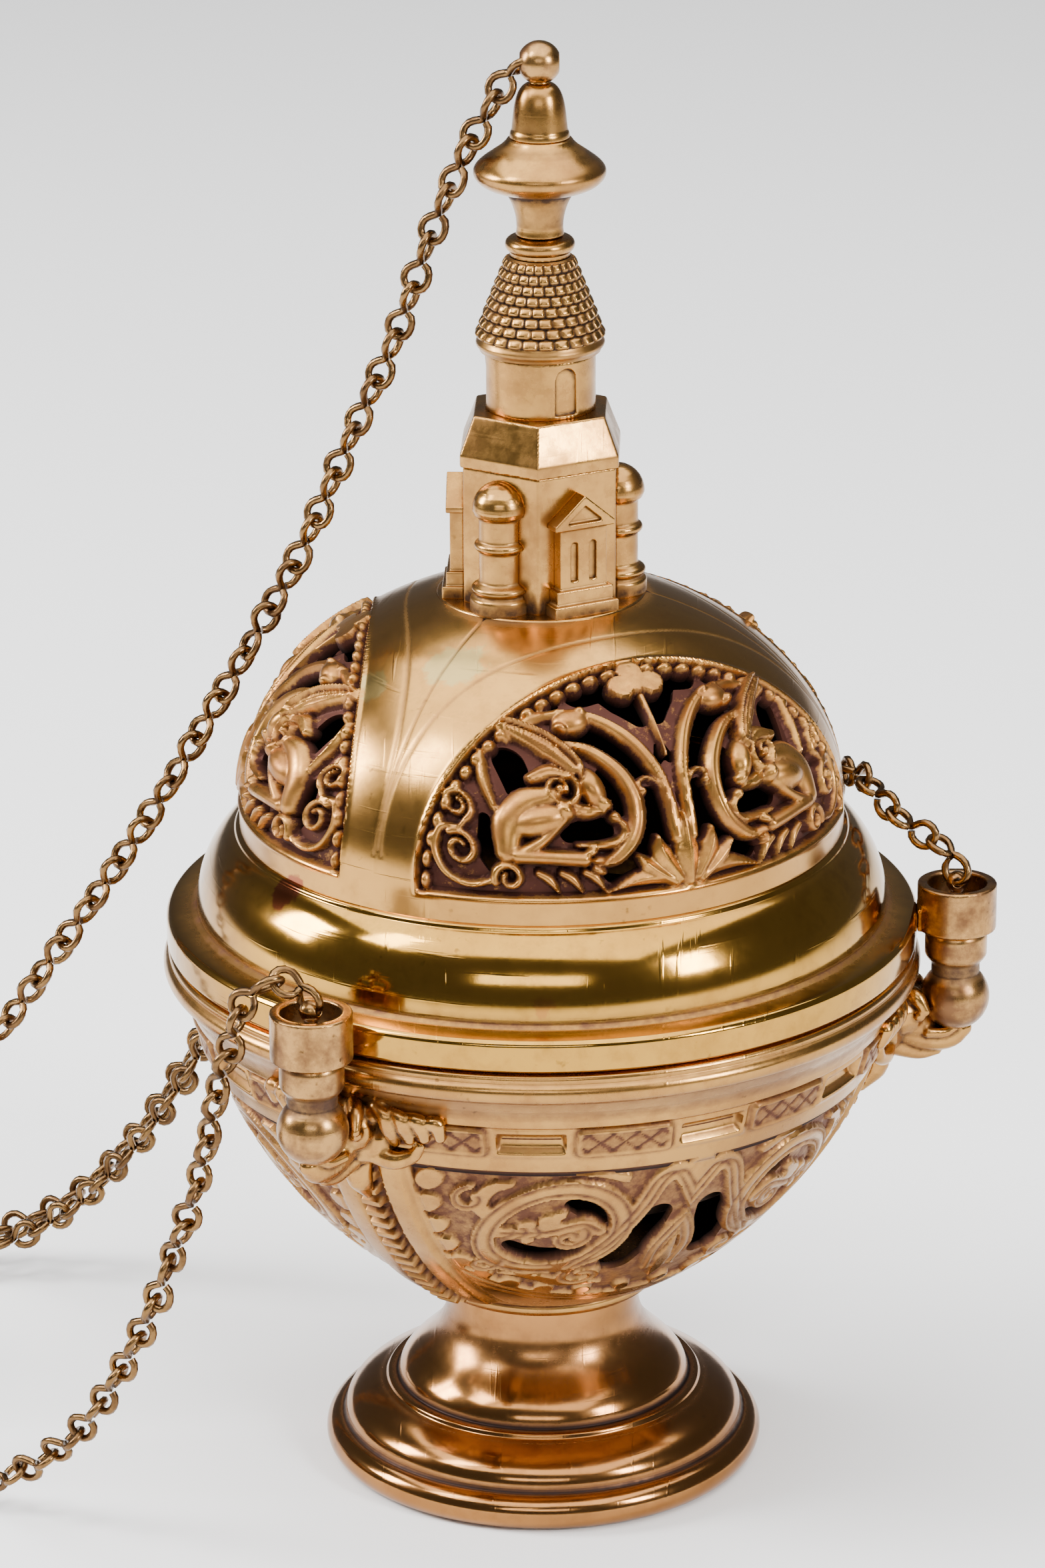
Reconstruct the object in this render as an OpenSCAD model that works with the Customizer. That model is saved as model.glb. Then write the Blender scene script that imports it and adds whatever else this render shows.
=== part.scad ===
// Thurible: a footed brass bowl with a lid that slides up three suspension
// chains, and a fourth chain that lifts the lid from a hand-piece.
// Origin: centre of the foot's underside. +Z up. Millimetres.
// The three chains hang at 0, 120 and 240 degrees; the pierced panels lie between.

/* [Bowl and lid] */
// Outside radius of the bowl's rim
rim_r = 64.5; // [63.9:0.1:64.9]
// Outside radius of the lid's flange
flange_r = 63.8; // [63.3:0.1:64.2]
// Height of the joint between bowl and lid
joint_z = 95.2; // [95:0.1:95.5]
// Wall thickness of the castings
wall = 2.2; // [1.8:0.1:2.6]
// Width of the straps that carry the chains
strap_w = 16.6; // [14:0.2:18]

/* [Foot] */
// Radius of the foot's rolled edge
foot_r = 38; // [37:0.2:40]
// Height of the foot
foot_h = 32; // [31:0.5:33]
// Radius of the foot's waist
waist_r = 16.6; // [15:0.2:17.4]

/* [Suspension] */
// Distance from the axis to each chain post
post_r = 70.5; // [70.2:0.1:71]
// Outside radius of the lid's guide rings
ring_r = 6.75; // [6.5:0.05:6.8]
// Bore radius of the guide rings
ring_bore_r = 5; // [4.8:0.1:5.2]
// Radius of the balls below the rings
ball_r = 5.9; // [5.5:0.1:6]

/* [Tower] */
// Distance from the tower's axis to each flat side
tower_flat = 12.6; // [12:0.1:12.8]
// Radius of the mushroom-shaped knop
knop_r = 10.9; // [9.5:0.1:11.5]

/* [Chains] */
// Outside width of the chain
chain_d = 4.6; // [4.4:0.1:4.6]
// Mean diameter of a stored coil
coil_d = 55; // [53:1:57]

/* [Hand-piece] */
// Radius of the hand-piece's disc
disc_r = 26; // [25.5:0.5:28]
// Mean radius of the finger ring
finger_r = 15; // [13:0.5:16]
// Mean radius of the lift ring
lift_r = 8; // [7:0.5:9]

/* [Hidden] */
$fn = 120;

brass = "#c9a24a";
rose_brass = "#b5814a";
dark_brass = "#94703e";
chain_brown = "#7b5a3a";

// Directions of the chains and of the panels between them
right = 0;
rear = 120;
left = 240;
panel_front = 300;
panel_rear = 60;
panel_side = 180;
straps = [right, rear, left];
panels = [panel_front, panel_rear, panel_side];

eps = 0.02;
rest_gap = 0.1;
steps = 10;

// ---- Outlines -------------------------------------------------------------

// Points of a cubic curve with end points a, d and pull points b, c
function curve(a, b, c, d, n = steps) = [
    for (i = [0:n]) let (t = i / n, s = 1 - t)
        a * s * s * s + 3 * b * s * s * t + 3 * c * s * t * t + d * t * t * t
];

// Points of an arc about a centre, from angle a0 to angle a1
function arc(centre, r, a0, a1, n = steps) = [
    for (i = [0:n]) let (a = a0 + (a1 - a0) * i / n)
        centre + r * [cos(a), sin(a)]
];

function flip(list) = [for (i = [len(list) - 1:-1:0]) list[i]];

module turned(outline) {
    rotate_extrude()
        polygon(outline);
}

// ---- Foot -----------------------------------------------------------------

roll_r = 3.1;
step_z = 13.6;
bolt_r = 3.2;
foot_wall = 2.4;
cup_top = foot_h - 5;

foot_outside = concat(
    [[foot_r - 5.6, 0]],
    arc([foot_r - roll_r, roll_r], roll_r, -90, 90),
    curve([foot_r - 3.4, 6.9], [foot_r - 3.6, 10.2], [30.4, 11.6], [27.4, step_z - 0.8]),
    [[27.1, step_z], [25.4, step_z]],
    curve([25.2, step_z + 0.8], [24, 19], [waist_r + 0.2, 20.5], [waist_r, foot_h - 4]),
    [[waist_r, foot_h]]
);
foot_inside = concat(
    [[bolt_r, foot_h], [bolt_r, cup_top], [waist_r - foot_wall - 1, cup_top]],
    curve([waist_r - foot_wall, cup_top - 1], [waist_r - 2, 18.5], [22, 16], [23, 11.8]),
    curve([24.6, 10.8], [29, 9.4], [foot_r - 6.4, 8], [foot_r - 6.2, 4])
);

module foot() {
    color(rose_brass)
        turned(concat(foot_outside, foot_inside));
}

// The bolt runs up through the foot's top and the bowl's bottom
bolt_head_r = 5.5;
bolt_head_h = 3.5;
bowl_floor_z = foot_h + 3;
nut_h = 4;
bolt_end_z = bowl_floor_z + nut_h + 1.5;

module foot_bolt() {
    color(dark_brass) {
        translate([0, 0, cup_top - bolt_head_h])
            cylinder(r = bolt_head_r, h = bolt_head_h, $fn = 6);
        translate([0, 0, cup_top - eps])
            cylinder(r = bolt_r - 0.2, h = bolt_end_z - cup_top + eps);
    }
}

module foot_nut() {
    color(dark_brass)
        translate([0, 0, bowl_floor_z])
            difference() {
                cylinder(r = 6.4, h = nut_h, $fn = 6);
                translate([0, 0, -1])
                    cylinder(r = bolt_r - 0.2, h = nut_h + 2);
            }
}

// ---- Bowl -----------------------------------------------------------------

// The belly is one arc about a centre just across the axis
belly_centre = [-12.2, 98.8];
belly_r = 72.4;
belly_low = -58.4;
belly_high = -20;
bore_r = 60.8;
bore_z = 89.2;
ledge_z = 74;
ledge_r = 53;

belly = arc(belly_centre, belly_r, belly_low, belly_high, 16);
bowl_outside = concat(
    [[bolt_r, foot_h], [18.4, foot_h]],
    arc([18.6, foot_h + 1.4], 1.4, -90, 40, 5),
    [[20.8, foot_h + 2.6]],
    [for (p = belly) if (p[0] > 21.6) p],
    [[56.8, 74.9], [57.4, 76.6], [57.6, 77.2], [59.5, 84]],
    curve([60, 84.4], [60.4, 86], [60.8, 87], [61.8, 88], 5),
    [[62.9, 89.6]],
    arc([rim_r - 2, 91.8], 2, -70, 60, 6),
    [[rim_r - 0.8, joint_z - 1], [rim_r - 1, joint_z]]
);
bowl_inside = concat(
    [[bore_r, joint_z], [bore_r, bore_z], [57.4, 84], [55.6, 77], [55.6, ledge_z]],
    [[ledge_r, ledge_z]],
    flip(arc(belly_centre, belly_r - wall, belly_low + 2.4, belly_high - 2.8, 12)),
    [[16, bowl_floor_z], [bolt_r, bowl_floor_z]]
);

// Pierced holes of one panel: [turn from the panel's middle, height, radius]
bowl_holes = [
    [-19.7, 66.5, 2.8], [-10.5, 56.5, 3.4], [-28, 55, 3.6],
    [10.5, 56.5, 3.4], [19.7, 66.5, 2.8], [28, 55, 3.6]
];
tablet_count = 12;
tablet_turn = 16;
tablet_band = [[57.5, 77.5], [59.3, 83.6], [60.1, 83.4], [58.4, 77.6]];
strap_t = 0.8;
strap_low = -57;
strap_high = -24;

module strap_slab(az, w, h) {
    rotate([0, 0, az])
        translate([0, -w / 2, 0])
            cube([rim_r, w, h]);
}

// A layer over the bowl's belly, from t0 to t1 above it, between two angles of its arc
module belly_layer(t0, t1, low, high) {
    turned(concat(
        arc(belly_centre, belly_r + t1, low, high, 16),
        flip(arc(belly_centre, belly_r + t0, low, high, 16))
    ));
}

module bowl() {
    color(brass)
        difference() {
            union() {
                turned(concat(bowl_outside, bowl_inside));
                for (i = [0:tablet_count - 1])
                    rotate([0, 0, 15 + i * 360 / tablet_count - tablet_turn / 2])
                        rotate_extrude(angle = tablet_turn)
                            polygon(tablet_band);
                for (az = straps)
                    intersection() {
                        belly_layer(-0.4, strap_t, strap_low, strap_high);
                        strap_slab(az, strap_w, joint_z);
                    }
            }
            for (p = panels, h = bowl_holes)
                rotate([0, 0, p + h[0]])
                    translate([20, 0, h[1] - 6])
                        rotate([0, 78, 0])
                            cylinder(r = h[2], h = 50, $fn = 40);
        }
}

// Notched bar down the middle of a strap
rib_w = 4.4;
rib_t = 1.8;
rib_low = -55;
rib_high = -27;
notch_step = 1.75;

module bowl_rib(az) {
    color(brass)
        difference() {
            intersection() {
                belly_layer(strap_t, rib_t, rib_low, rib_high);
                strap_slab(az, rib_w, joint_z);
            }
            rotate([0, 0, az])
                translate([belly_centre[0], 0, belly_centre[1]])
                    for (a = [rib_low + 1:notch_step:rib_high - 1])
                        rotate([0, -a, 0])
                            translate([belly_r + rib_t - 0.7, -rib_w, -0.35])
                                cube([2, 2 * rib_w, 0.7]);
        }
}

// ---- Masks, posts and chain eyes --------------------------------------------

ball_z = 84.4;
collar_r = 5.3;
collar_z = 91.6;
ring_z = 96.9;
ring_h = 8.1;
eye_z = 105;
eye_r = 1.9;
eye_bore_r = 0.8;
stem_r = 1.1;

// A beast's head that juts from the bowl and holds the ball
module mask(az) {
    color(rose_brass)
        difference() {
            rotate([0, 0, az])
                hull() {
                    for (s = [-1, 1]) {
                        translate([58, 6.5 * s, 83])
                            sphere(r = 3.2, $fn = 20);
                        translate([57, 4.5 * s, 75])
                            sphere(r = 3, $fn = 20);
                    }
                    translate([62.6, 0, 85])
                        sphere(r = 3.4, $fn = 20);
                    translate([62.6, 0, 77])
                        sphere(r = 3, $fn = 20);
                }
            turned([[0, 0], [bowl_outside[0][0], 0], [18.4, foot_h], [52.7, 66], [56.8, 74.9],
                [60.1, 77.5], [60.6, 84], [61.8, 88], [63.4, 89.6], [0, joint_z]]);
            translate(post_r * [cos(az), sin(az), 0] + [0, 0, ball_z])
                sphere(r = ball_r + 0.05, $fn = 64);
        }
}

module post(az) {
    color(dark_brass)
        translate(post_r * [cos(az), sin(az), 0])
            turned(concat(
                arc([0, ball_z], ball_r, -90, 48, 14),
                [[4.1, 89.8], [4.1, 90.8], [collar_r - 0.5, collar_z]],
                [[collar_r, collar_z + 0.6], [collar_r, 95.9], [collar_r - 0.5, ring_z - 0.3]],
                [[stem_r, ring_z - 0.3], [stem_r, 91], [0, 91]]
            ));
}

module chain_eye(az) {
    color(dark_brass)
        translate(post_r * [cos(az), sin(az), 0])
            difference() {
                union() {
                    translate([0, 0, 91])
                        cylinder(r = stem_r, h = eye_z - 91);
                    translate([0, 0, eye_z])
                        sphere(r = eye_r, $fn = 40);
                }
                translate([0, 0, eye_z + 0.3])
                    rotate([90, 0, az])
                        cylinder(r = eye_bore_r, h = 6, center = true, $fn = 24);
            }
}

// ---- Fire pan ---------------------------------------------------------------

pan_r = 55.1;
pan_t = 1.2;
floor_z = 60;
pan_travel = 15;

module fire_pan() {
    pan_z = ledge_z + rest_gap;
    color(dark_brass)
        turned([
            [0, floor_z], [43.2, floor_z], [44.4, floor_z + 1], [49, pan_z],
            [pan_r, pan_z], [pan_r, pan_z + pan_t], [49 - pan_t, pan_z + pan_t],
            [43.2, floor_z + pan_t + 0.6], [42.4, floor_z + pan_t], [0, floor_z + pan_t]
        ]);
}

// ---- Lid --------------------------------------------------------------------

lid_z = joint_z + rest_gap;
dome_centre = [-1.3, 119.9];
dome_w = 52.4;
dome_h = 39.1;
band_r = 51.1;
seat_r = 17.4;
seat_z = 156.5;
rod_r = 2.5;
spigot_r = 60.2;

// Points of the dome's outline, moved in by t, from radius r0 in to radius r1
function dome(t, r0, r1, n = 18) = [
    for (i = [0:n]) let (
        a0 = acos(min(1, (r0 - dome_centre[0]) / (dome_w - t))),
        a1 = acos((r1 - dome_centre[0]) / (dome_w - t)),
        a = a0 + (a1 - a0) * i / n
    ) dome_centre + [(dome_w - t) * cos(a), (dome_h - t) * sin(a)]
];

lid_outside = concat(
    [[flange_r, lid_z], [flange_r, 100.2], [flange_r - 0.6, 101], [59.3, 101.4]],
    [[58.6, 101.9]],
    curve([58.6, 101.9], [58.8, 107.4], [55.4, 113.6], [52, 115.2]),
    [[51.8, 115.8], [band_r, 116.1]],
    dome(0, band_r, seat_r),
    [[seat_r, seat_z], [rod_r + 0.1, seat_z]]
);
lid_inside = concat(
    [[rod_r + 0.1, 154]],
    flip(dome(wall, band_r - wall, 8)),
    [[band_r - wall, 114.5]],
    curve([50.4, 113.2], [53.4, 111.4], [56.2, 107], [56.2, 101.6]),
    [[57.6, 100.8], [57.6, 92.4], [spigot_r, 92.4], [spigot_r, lid_z]]
);

// The window of a panel is the dome beyond a plane that leans inwards
window_x = 31.6;
window_lean = 6;
window_z = 120.2;

module beyond_plane(az) {
    rotate([0, 0, az])
        translate([window_x, -60, window_z])
            rotate([0, -window_lean, 0])
                translate([0, 0, -20])
                    cube([60, 120, 80]);
}

module above(z) {
    translate([-80, -80, z])
        cube([160, 160, 80]);
}

module window(az) {
    intersection() {
        beyond_plane(az);
        above(window_z);
    }
}

module lid_shell() {
    color(brass)
        difference() {
            turned(concat(lid_outside, lid_inside));
            for (p = panels)
                window(p);
        }
}

// Openings of one grille: [turn from the panel's middle, height, radius]
grille_holes = [
    [-8.2, 149.6, 2.2], [8.2, 149.6, 2.2], [-10.4, 142.2, 3.1], [10.4, 142.2, 3.1],
    [-8.4, 128.4, 3.6], [8.4, 128.4, 3.6], [-19.2, 131.6, 2.6], [19.2, 131.6, 2.6],
    [-32, 138.6, 2.6], [32, 138.6, 2.6], [-17.6, 137, 1.8], [17.6, 137, 1.8]
];
grille_wall = 2.6;

module grille(az) {
    color(brass)
        difference() {
            intersection() {
                turned(concat(
                    dome(0, band_r, 12),
                    flip(dome(grille_wall, band_r - grille_wall, 12))
                ));
                window(az);
            }
            for (h = grille_holes)
                rotate([0, 0, az + h[0]])
                    translate([0, 0, h[1] - 24])
                        rotate([0, 62, 0])
                            translate([0, 0, 20])
                                cylinder(r = h[2], h = 60, $fn = 40);
        }
}

module guide_ring(az) {
    color(dark_brass)
        difference() {
            rotate([0, 0, az])
                union() {
                    translate([post_r, 0, ring_z])
                        cylinder(r = ring_r, h = ring_h);
                    translate([flange_r - 2, -3, ring_z])
                        cube([5, 6, 4]);
                }
            cylinder(r = flange_r, h = 130);
            rotate([0, 0, az])
                translate([post_r, 0, 0])
                    cylinder(r = ring_bore_r, h = 130);
        }
}

// ---- Tower and spire ----------------------------------------------------------

corner_r = tower_flat / cos(30);
roof_z = 180;
drum_r = 9.15;
drum_z = 188.4;
cone_z = 198;
collar_base_z = 214;
knop_z = 217.6;
bell_z = 233.8;
eye_ball_r = 3.6;
eye_ball_z = 246.2;
rod_hole_r = rod_r + 0.1;

module rod_hole() {
    translate([0, 0, 100])
        cylinder(r = rod_hole_r, h = 130);
}

module hexagon(r, z, h) {
    translate([0, 0, z])
        cylinder(r = r, h = h, $fn = 6);
}

module tower_body() {
    color(brass)
        difference() {
            rotate([0, 0, 30])
                hexagon(corner_r, seat_z, roof_z - seat_z);
            rod_hole();
        }
}

// Everything outside the tower's six sides
module beside_tower() {
    difference() {
        translate([-40, -40, seat_z])
            cube([80, 80, 40]);
        rotate([0, 0, 30])
            hexagon(corner_r, 100, 100);
    }
}

module turret(az) {
    color(brass)
        intersection() {
            rotate([0, 0, az])
                translate([tower_flat, 0, 0])
                    turned(concat(
                        [[0, seat_z], [5.1, seat_z], [5.1, 158.4]],
                        arc([4.4, 158.6], 0.7, 0, 80, 3),
                        arc([4.1, 160.4], 0.8, -70, 70, 5),
                        [[3.6, 161.6], [3.6, 166.8]],
                        arc([3.6, 167.8], 0.8, -80, 80, 5),
                        [[3.6, 168.8], [3.6, 172.6], [4.3, 173]],
                        arc([0, 174], 4.7, 0, 90, 8)
                    ));
            beside_tower();
        }
}

gable_x = 15;
gable_w = 8.6;
slit_w = 1.3;

module gable(az) {
    color(brass)
        rotate([0, 0, az])
            difference() {
                union() {
                    translate([tower_flat, -gable_w / 2, seat_z])
                        cube([gable_x - tower_flat, gable_w, 15.3]);
                    translate([tower_flat, -5.2, seat_z])
                        cube([15.6 - tower_flat, 10.4, 4.6]);
                    translate([tower_flat, -5.9, seat_z])
                        cube([16.3 - tower_flat, 11.8, 2.2]);
                    translate([tower_flat, 0, 171.4])
                        rotate([90, 0, 90])
                            linear_extrude(gable_x + 0.6 - tower_flat)
                                polygon([[-5.5, 0], [5.5, 0], [5.5, 0.9], [0, 5.6], [-5.5, 0.9]]);
                }
                translate([gable_x - 0.1, 0, 172.4])
                    rotate([90, 0, 90])
                        linear_extrude(2)
                            polygon([[-3.4, 0], [3.4, 0], [0, 2.9]]);
                for (s = [-1, 1]) {
                    translate([gable_x - 0.8, 1.7 * s - slit_w / 2, 162.4])
                        cube([2, slit_w, 6]);
                    translate([gable_x - 0.8, 1.7 * s, 168.4])
                        rotate([0, 90, 0])
                            cylinder(r = slit_w / 2, h = 2, $fn = 24);
                }
            }
}

// Bevelled six-sided eaves: a hexagonal block cut by six sloping planes
eaves_flat = 13.1;
bevel_z = 182;
bevel_lean = 20;

module tower_roof() {
    color(brass)
        difference() {
            rotate([0, 0, 30])
                hexagon(eaves_flat / cos(30), roof_z, drum_z - roof_z);
            for (a = [0:60:300])
                rotate([0, 0, a])
                    translate([eaves_flat, -20, bevel_z])
                        rotate([0, -bevel_lean, 0])
                            cube([20, 40, 20]);
            rod_hole();
        }
}

niche_w = 3.8;

module tower_drum() {
    color(brass)
        difference() {
            translate([0, 0, drum_z])
                cylinder(r = drum_r, h = cone_z - drum_z);
            for (p = panels)
                rotate([0, 0, p]) {
                    translate([drum_r - 0.8, -niche_w / 2, drum_z + 0.6])
                        cube([3, niche_w, 6]);
                    translate([drum_r - 0.8, 0, drum_z + 6.6])
                        rotate([0, 90, 0])
                            cylinder(r = niche_w / 2, h = 3, $fn = 32);
                }
            rod_hole();
        }
}

// Conical roof with one lip for each row of tiles
tile_rows = 8;
cone_low_r = 10.1;
cone_top_r = 5.3;
cone_foot_z = 200.6;

module cone_roof() {
    row_h = (collar_base_z - cone_foot_z) / tile_rows;
    row_in = (cone_low_r - cone_top_r) / tile_rows;
    color(brass)
        turned(concat(
            [[rod_hole_r, cone_z]],
            curve([drum_r, cone_z], [10, 198.2], [10.4, 199.4], [cone_low_r, cone_foot_z], 6),
            [for (i = [1:tile_rows], k = [0, 1])
                [cone_low_r - row_in * i + (k == 0 ? 0.25 : 0), cone_foot_z + row_h * i]],
            [[rod_hole_r, collar_base_z]]
        ));
}

module spire_collar() {
    color(brass)
        turned(concat(
            [[rod_hole_r, collar_base_z], [4.9, collar_base_z]],
            arc([4.5, 216], 1.15, -65, 70, 7),
            [[4, knop_z], [rod_hole_r, knop_z]]
        ));
}

module spire_knop() {
    color(brass)
        turned(concat(
            [[rod_hole_r, knop_z], [4, knop_z]],
            curve([3.9, knop_z + 0.6], [3.6, 220], [4.3, 222.6], [5.3, 224.2], 8),
            [[5.1, 224.9]],
            curve([6.2, 225], [8.8, 225.4], [knop_r, 226.6], [knop_r, 228.2], 8),
            curve([knop_r, 228.2], [knop_r, 229.6], [8.6, 230.8], [6.4, 232.4], 8),
            [[5.6, 233.2], [5.2, bell_z], [0, bell_z], [0, 230], [rod_hole_r, 230]]
        ));
}

module spire_bell() {
    color(brass)
        turned(concat(
            [[0, bell_z], [4.9, bell_z], [4.7, 234.6]],
            curve([4.5, 235.2], [4.2, 237.4], [4.5, 241.4], [2.2, 242.6], 8),
            [[1.6, 242.8], [1.6, 243.2], [0, 243.2]]
        ));
}

module ball_eye() {
    color(dark_brass)
        difference() {
            translate([0, 0, eye_ball_z])
                sphere(r = eye_ball_r, $fn = 64);
            translate([-10, -10, 233.2])
                cube([20, 20, 10]);
            translate([0, 0, eye_ball_z])
                rotate([0, 90, 0])
                    cylinder(r = 1.4, h = 20, center = true, $fn = 32);
        }
}

// The rod pulls the whole tower down on the dome
rod_low_z = 148;

module tie_rod() {
    color(dark_brass)
        translate([0, 0, rod_low_z])
            cylinder(r = rod_r, h = 230 - rod_low_z);
}

module tie_nut() {
    color(dark_brass)
        difference() {
            hexagon(5, 149.8, 4.2);
            translate([0, 0, 140])
                cylinder(r = rod_r, h = 30);
        }
}

// ---- Stored chains and hand-piece -----------------------------------------------

// The coils lie in four layers, two turns wide, beside the thurible
coil_x = -165;
coil_y = 20;
layer_h = 4.8;
coil_in_r = coil_d / 2 - layer_h;
coil_out_r = coil_d / 2 + layer_h;
pile_z = 4 * layer_h;

module coil(layer) {
    color(chain_brown)
        translate([coil_x, coil_y, layer * layer_h])
            rotate_extrude()
                translate([coil_in_r, 0])
                    square([coil_out_r - coil_in_r, layer_h]);
}

bush_x = -14;
bush_bore_r = 2.9;
bush_r = 4.4;
bush_z = pile_z + 6.8;
disc_top = pile_z + 4.8;
stud_z = pile_z + 9;
wire_r = 1.2;
lift_wire_r = 1;
knob_z = bush_z + 4.2;

module at_pile() {
    translate([coil_x, coil_y, 0])
        children();
}

module handpiece_disc() {
    color(brass)
        at_pile()
            difference() {
                turned(concat(
                    [[0, pile_z + 2.2], [19, pile_z + 2.2], [20, pile_z], [disc_r, pile_z]],
                    arc([disc_r - 1, pile_z + 1], 1, 0, 90, 5),
                    curve([23.6, pile_z + 2.4], [20, pile_z + 2.6], [12, disc_top], [6, disc_top]),
                    [[0, disc_top]]
                ));
                translate([bush_x, 0, 0])
                    cylinder(r = bush_r, h = 60);
                cylinder(r = 1.5, h = 60);
            }
}

module handpiece_bush() {
    color(dark_brass)
        at_pile()
            translate([bush_x, 0, 0])
                turned([[bush_bore_r, pile_z + 1.4], [bush_r, pile_z + 1.4], [bush_r, pile_z + 5],
                    [bush_r + 1, pile_z + 5.2], [bush_r + 1, bush_z - 0.6], [bush_r + 0.6, bush_z],
                    [bush_bore_r, bush_z]]);
}

// Loops under the disc, where the suspension chains end
module handpiece_eyes() {
    color(dark_brass)
        at_pile()
            for (a = [0, 60, 240])
                rotate([0, 0, a])
                    translate([15, 0, pile_z - 1.2])
                        difference() {
                            union() {
                                rotate([90, 0, 0])
                                    cylinder(r = 2.6, h = 1.6, center = true, $fn = 40);
                                cylinder(r = 0.8, h = 3.4, $fn = 24);
                            }
                            rotate([90, 0, 0])
                                cylinder(r = 1.4, h = 4, center = true, $fn = 32);
                        }
}

module swivel_stud() {
    color(dark_brass)
        at_pile()
            difference() {
                union() {
                    translate([0, 0, pile_z + 2.2])
                        cylinder(r = 1.5, h = stud_z - pile_z - 2.2);
                    translate([0, 0, disc_top])
                        cylinder(r = 3, h = 1);
                    translate([0, 0, stud_z])
                        sphere(r = 2.9, $fn = 48);
                }
                translate([0, 0, stud_z])
                    rotate([90, 0, 0])
                        cylinder(r = wire_r + 0.4, h = 10, center = true, $fn = 40);
            }
}

// A ring that passes through an eye and droops outwards from it
module ring_through(r, wire, droop) {
    rotate([0, droop, 0])
        translate([r, 0, 0])
            rotate_extrude()
                translate([r, 0])
                    circle(r = wire, $fn = 24);
}

finger_droop = 13;
lift_droop = 28;

module finger_ring() {
    color(brass)
        at_pile()
            translate([0, 0, stud_z])
                ring_through(finger_r, wire_r, finger_droop);
}

module lift_knob() {
    color(dark_brass)
        at_pile()
            translate([bush_x, 0, 0])
                difference() {
                    union() {
                        translate([0, 0, bush_z + rest_gap])
                            cylinder(r = 4.6, h = 1.6);
                        translate([0, 0, knob_z])
                            sphere(r = 2.6, $fn = 48);
                        translate([0, 0, pile_z + 2])
                            cylinder(r = 2.86, h = bush_z - pile_z - 1);
                    }
                    translate([0, 0, knob_z])
                        rotate([90, 0, 0])
                            cylinder(r = lift_wire_r + 0.4, h = 10, center = true, $fn = 40);
                }
}

module lift_ring() {
    color(brass)
        at_pile()
            translate([bush_x, 0, knob_z])
                rotate([0, 0, 180])
                    ring_through(lift_r, lift_wire_r, lift_droop);
}

// ---- Chains -----------------------------------------------------------------------

// Routes of the lengths that aren't coiled, from the thurible to the coil
route_left = [
    [-35.2, -61, 109.2], [-41, -63, 110.6], [-45.6, -64, 108], [-48, -62.4, 100], [-50.6, -60.2, 91],
    [-53, -58.4, 79], [-56.6, -55.8, 66], [-60.8, -52.8, 54], [-66, -49.2, 41], [-72.4, -44.6, 28],
    [-80, -39.2, 16.6], [-91, -32, 7], [-106, -24.6, 2.8], [-122, -18, 2.4], [-140, -12.4, 2.4],
    [-156, -10.6, 2.4]
];
route_right = [
    [70.4, 0.6, 109.2], [66.4, 2.4, 111.6], [61.4, 5.6, 113.8], [57, 10, 117], [54, 17, 118.4],
    [51.6, 25, 115.6], [49.4, 34.6, 108.6], [43.4, 43, 104], [34, 51, 103.8], [23, 57, 103.8],
    [11, 60.3, 103.8], [-1, 61.3, 103.8], [-13, 59.9, 103.8], [-25, 56, 103.8],
    [-36.6, 49.6, 104.2], [-46.6, 43.4, 104.6], [-54, 42.4, 99.6], [-57.8, 44, 88], [-59.4, 45, 72],
    [-62.4, 47, 56], [-68.4, 50.6, 43.6], [-77.4, 56, 29.6], [-88, 61, 17], [-100, 65, 8],
    [-114, 63.4, 5], [-132, 57.6, 5.4], [-148, 52.2, 6.6], [-158, 50.8, 7.2]
];
route_rear = [
    [-35.2, 61.2, 109.2], [-40.6, 62.6, 110.6], [-46.4, 62.2, 108.6], [-51.2, 59.6, 101],
    [-54.6, 57, 89], [-57.4, 54.6, 73], [-62, 54.4, 57], [-68.8, 57.8, 43.2], [-78, 62.4, 28.6],
    [-89, 67.4, 15.8], [-101, 71.6, 7.6], [-116, 70.4, 4.6], [-133, 65, 6], [-148, 57.6, 9.8],
    [-157, 53.6, 12]
];
route_lid = [
    [-5.4, -0.2, 244.4], [-7.9, -0.5, 239], [-12, -0.8, 231.6], [-17.6, -1.2, 218.4], [-24, -1.7, 200],
    [-31, -2.2, 184.4], [-39.4, -2.8, 165], [-48, -3.4, 148.8], [-57, -4, 133], [-65.6, -4.6, 118.4],
    [-74.8, -5.2, 104.2], [-83, -5.8, 92.4], [-91.4, -6.4, 80.2], [-104, -7.6, 64], [-118, -9, 48],
    [-132, -10.2, 35], [-146, -10.6, 24.6], [-156, -10.4, 18.6]
];

function unit(v) = v / norm(v);

// Direction of travel at point i of a route
function heading(route, i) =
    unit(route[min(i + 1, len(route) - 1)] - route[max(i - 1, 0)]);

// Sideways directions, each turned as little as possible from the one before
function carried(route, i, u) = i == len(route) ? [] :
    let (t = heading(route, i), v = unit(u - t * (u * t)))
        concat([v], carried(route, i + 1, v));

tube_sides = 8;

module chain_tube(route) {
    n = len(route);
    sides = carried(route, 0, [0, 1, 0]);
    points = [
        for (i = [0:n - 1], k = [0:tube_sides - 1])
            let (a = 360 * k / tube_sides, u = sides[i], v = cross(heading(route, i), u))
                route[i] + chain_d / 2 * (u * cos(a) + v * sin(a))
    ];
    walls = [
        for (i = [0:n - 2], k = [0:tube_sides - 1])
            let (a = i * tube_sides + k, b = i * tube_sides + (k + 1) % tube_sides)
                [a, a + tube_sides, b + tube_sides, b]
    ];
    ends = [
        [for (k = [0:tube_sides - 1]) k],
        [for (k = [tube_sides - 1:-1:0]) (n - 1) * tube_sides + k]
    ];
    color(chain_brown)
        polyhedron(points, concat(walls, ends));
}

// ---- Assembly ---------------------------------------------------------------------

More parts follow.
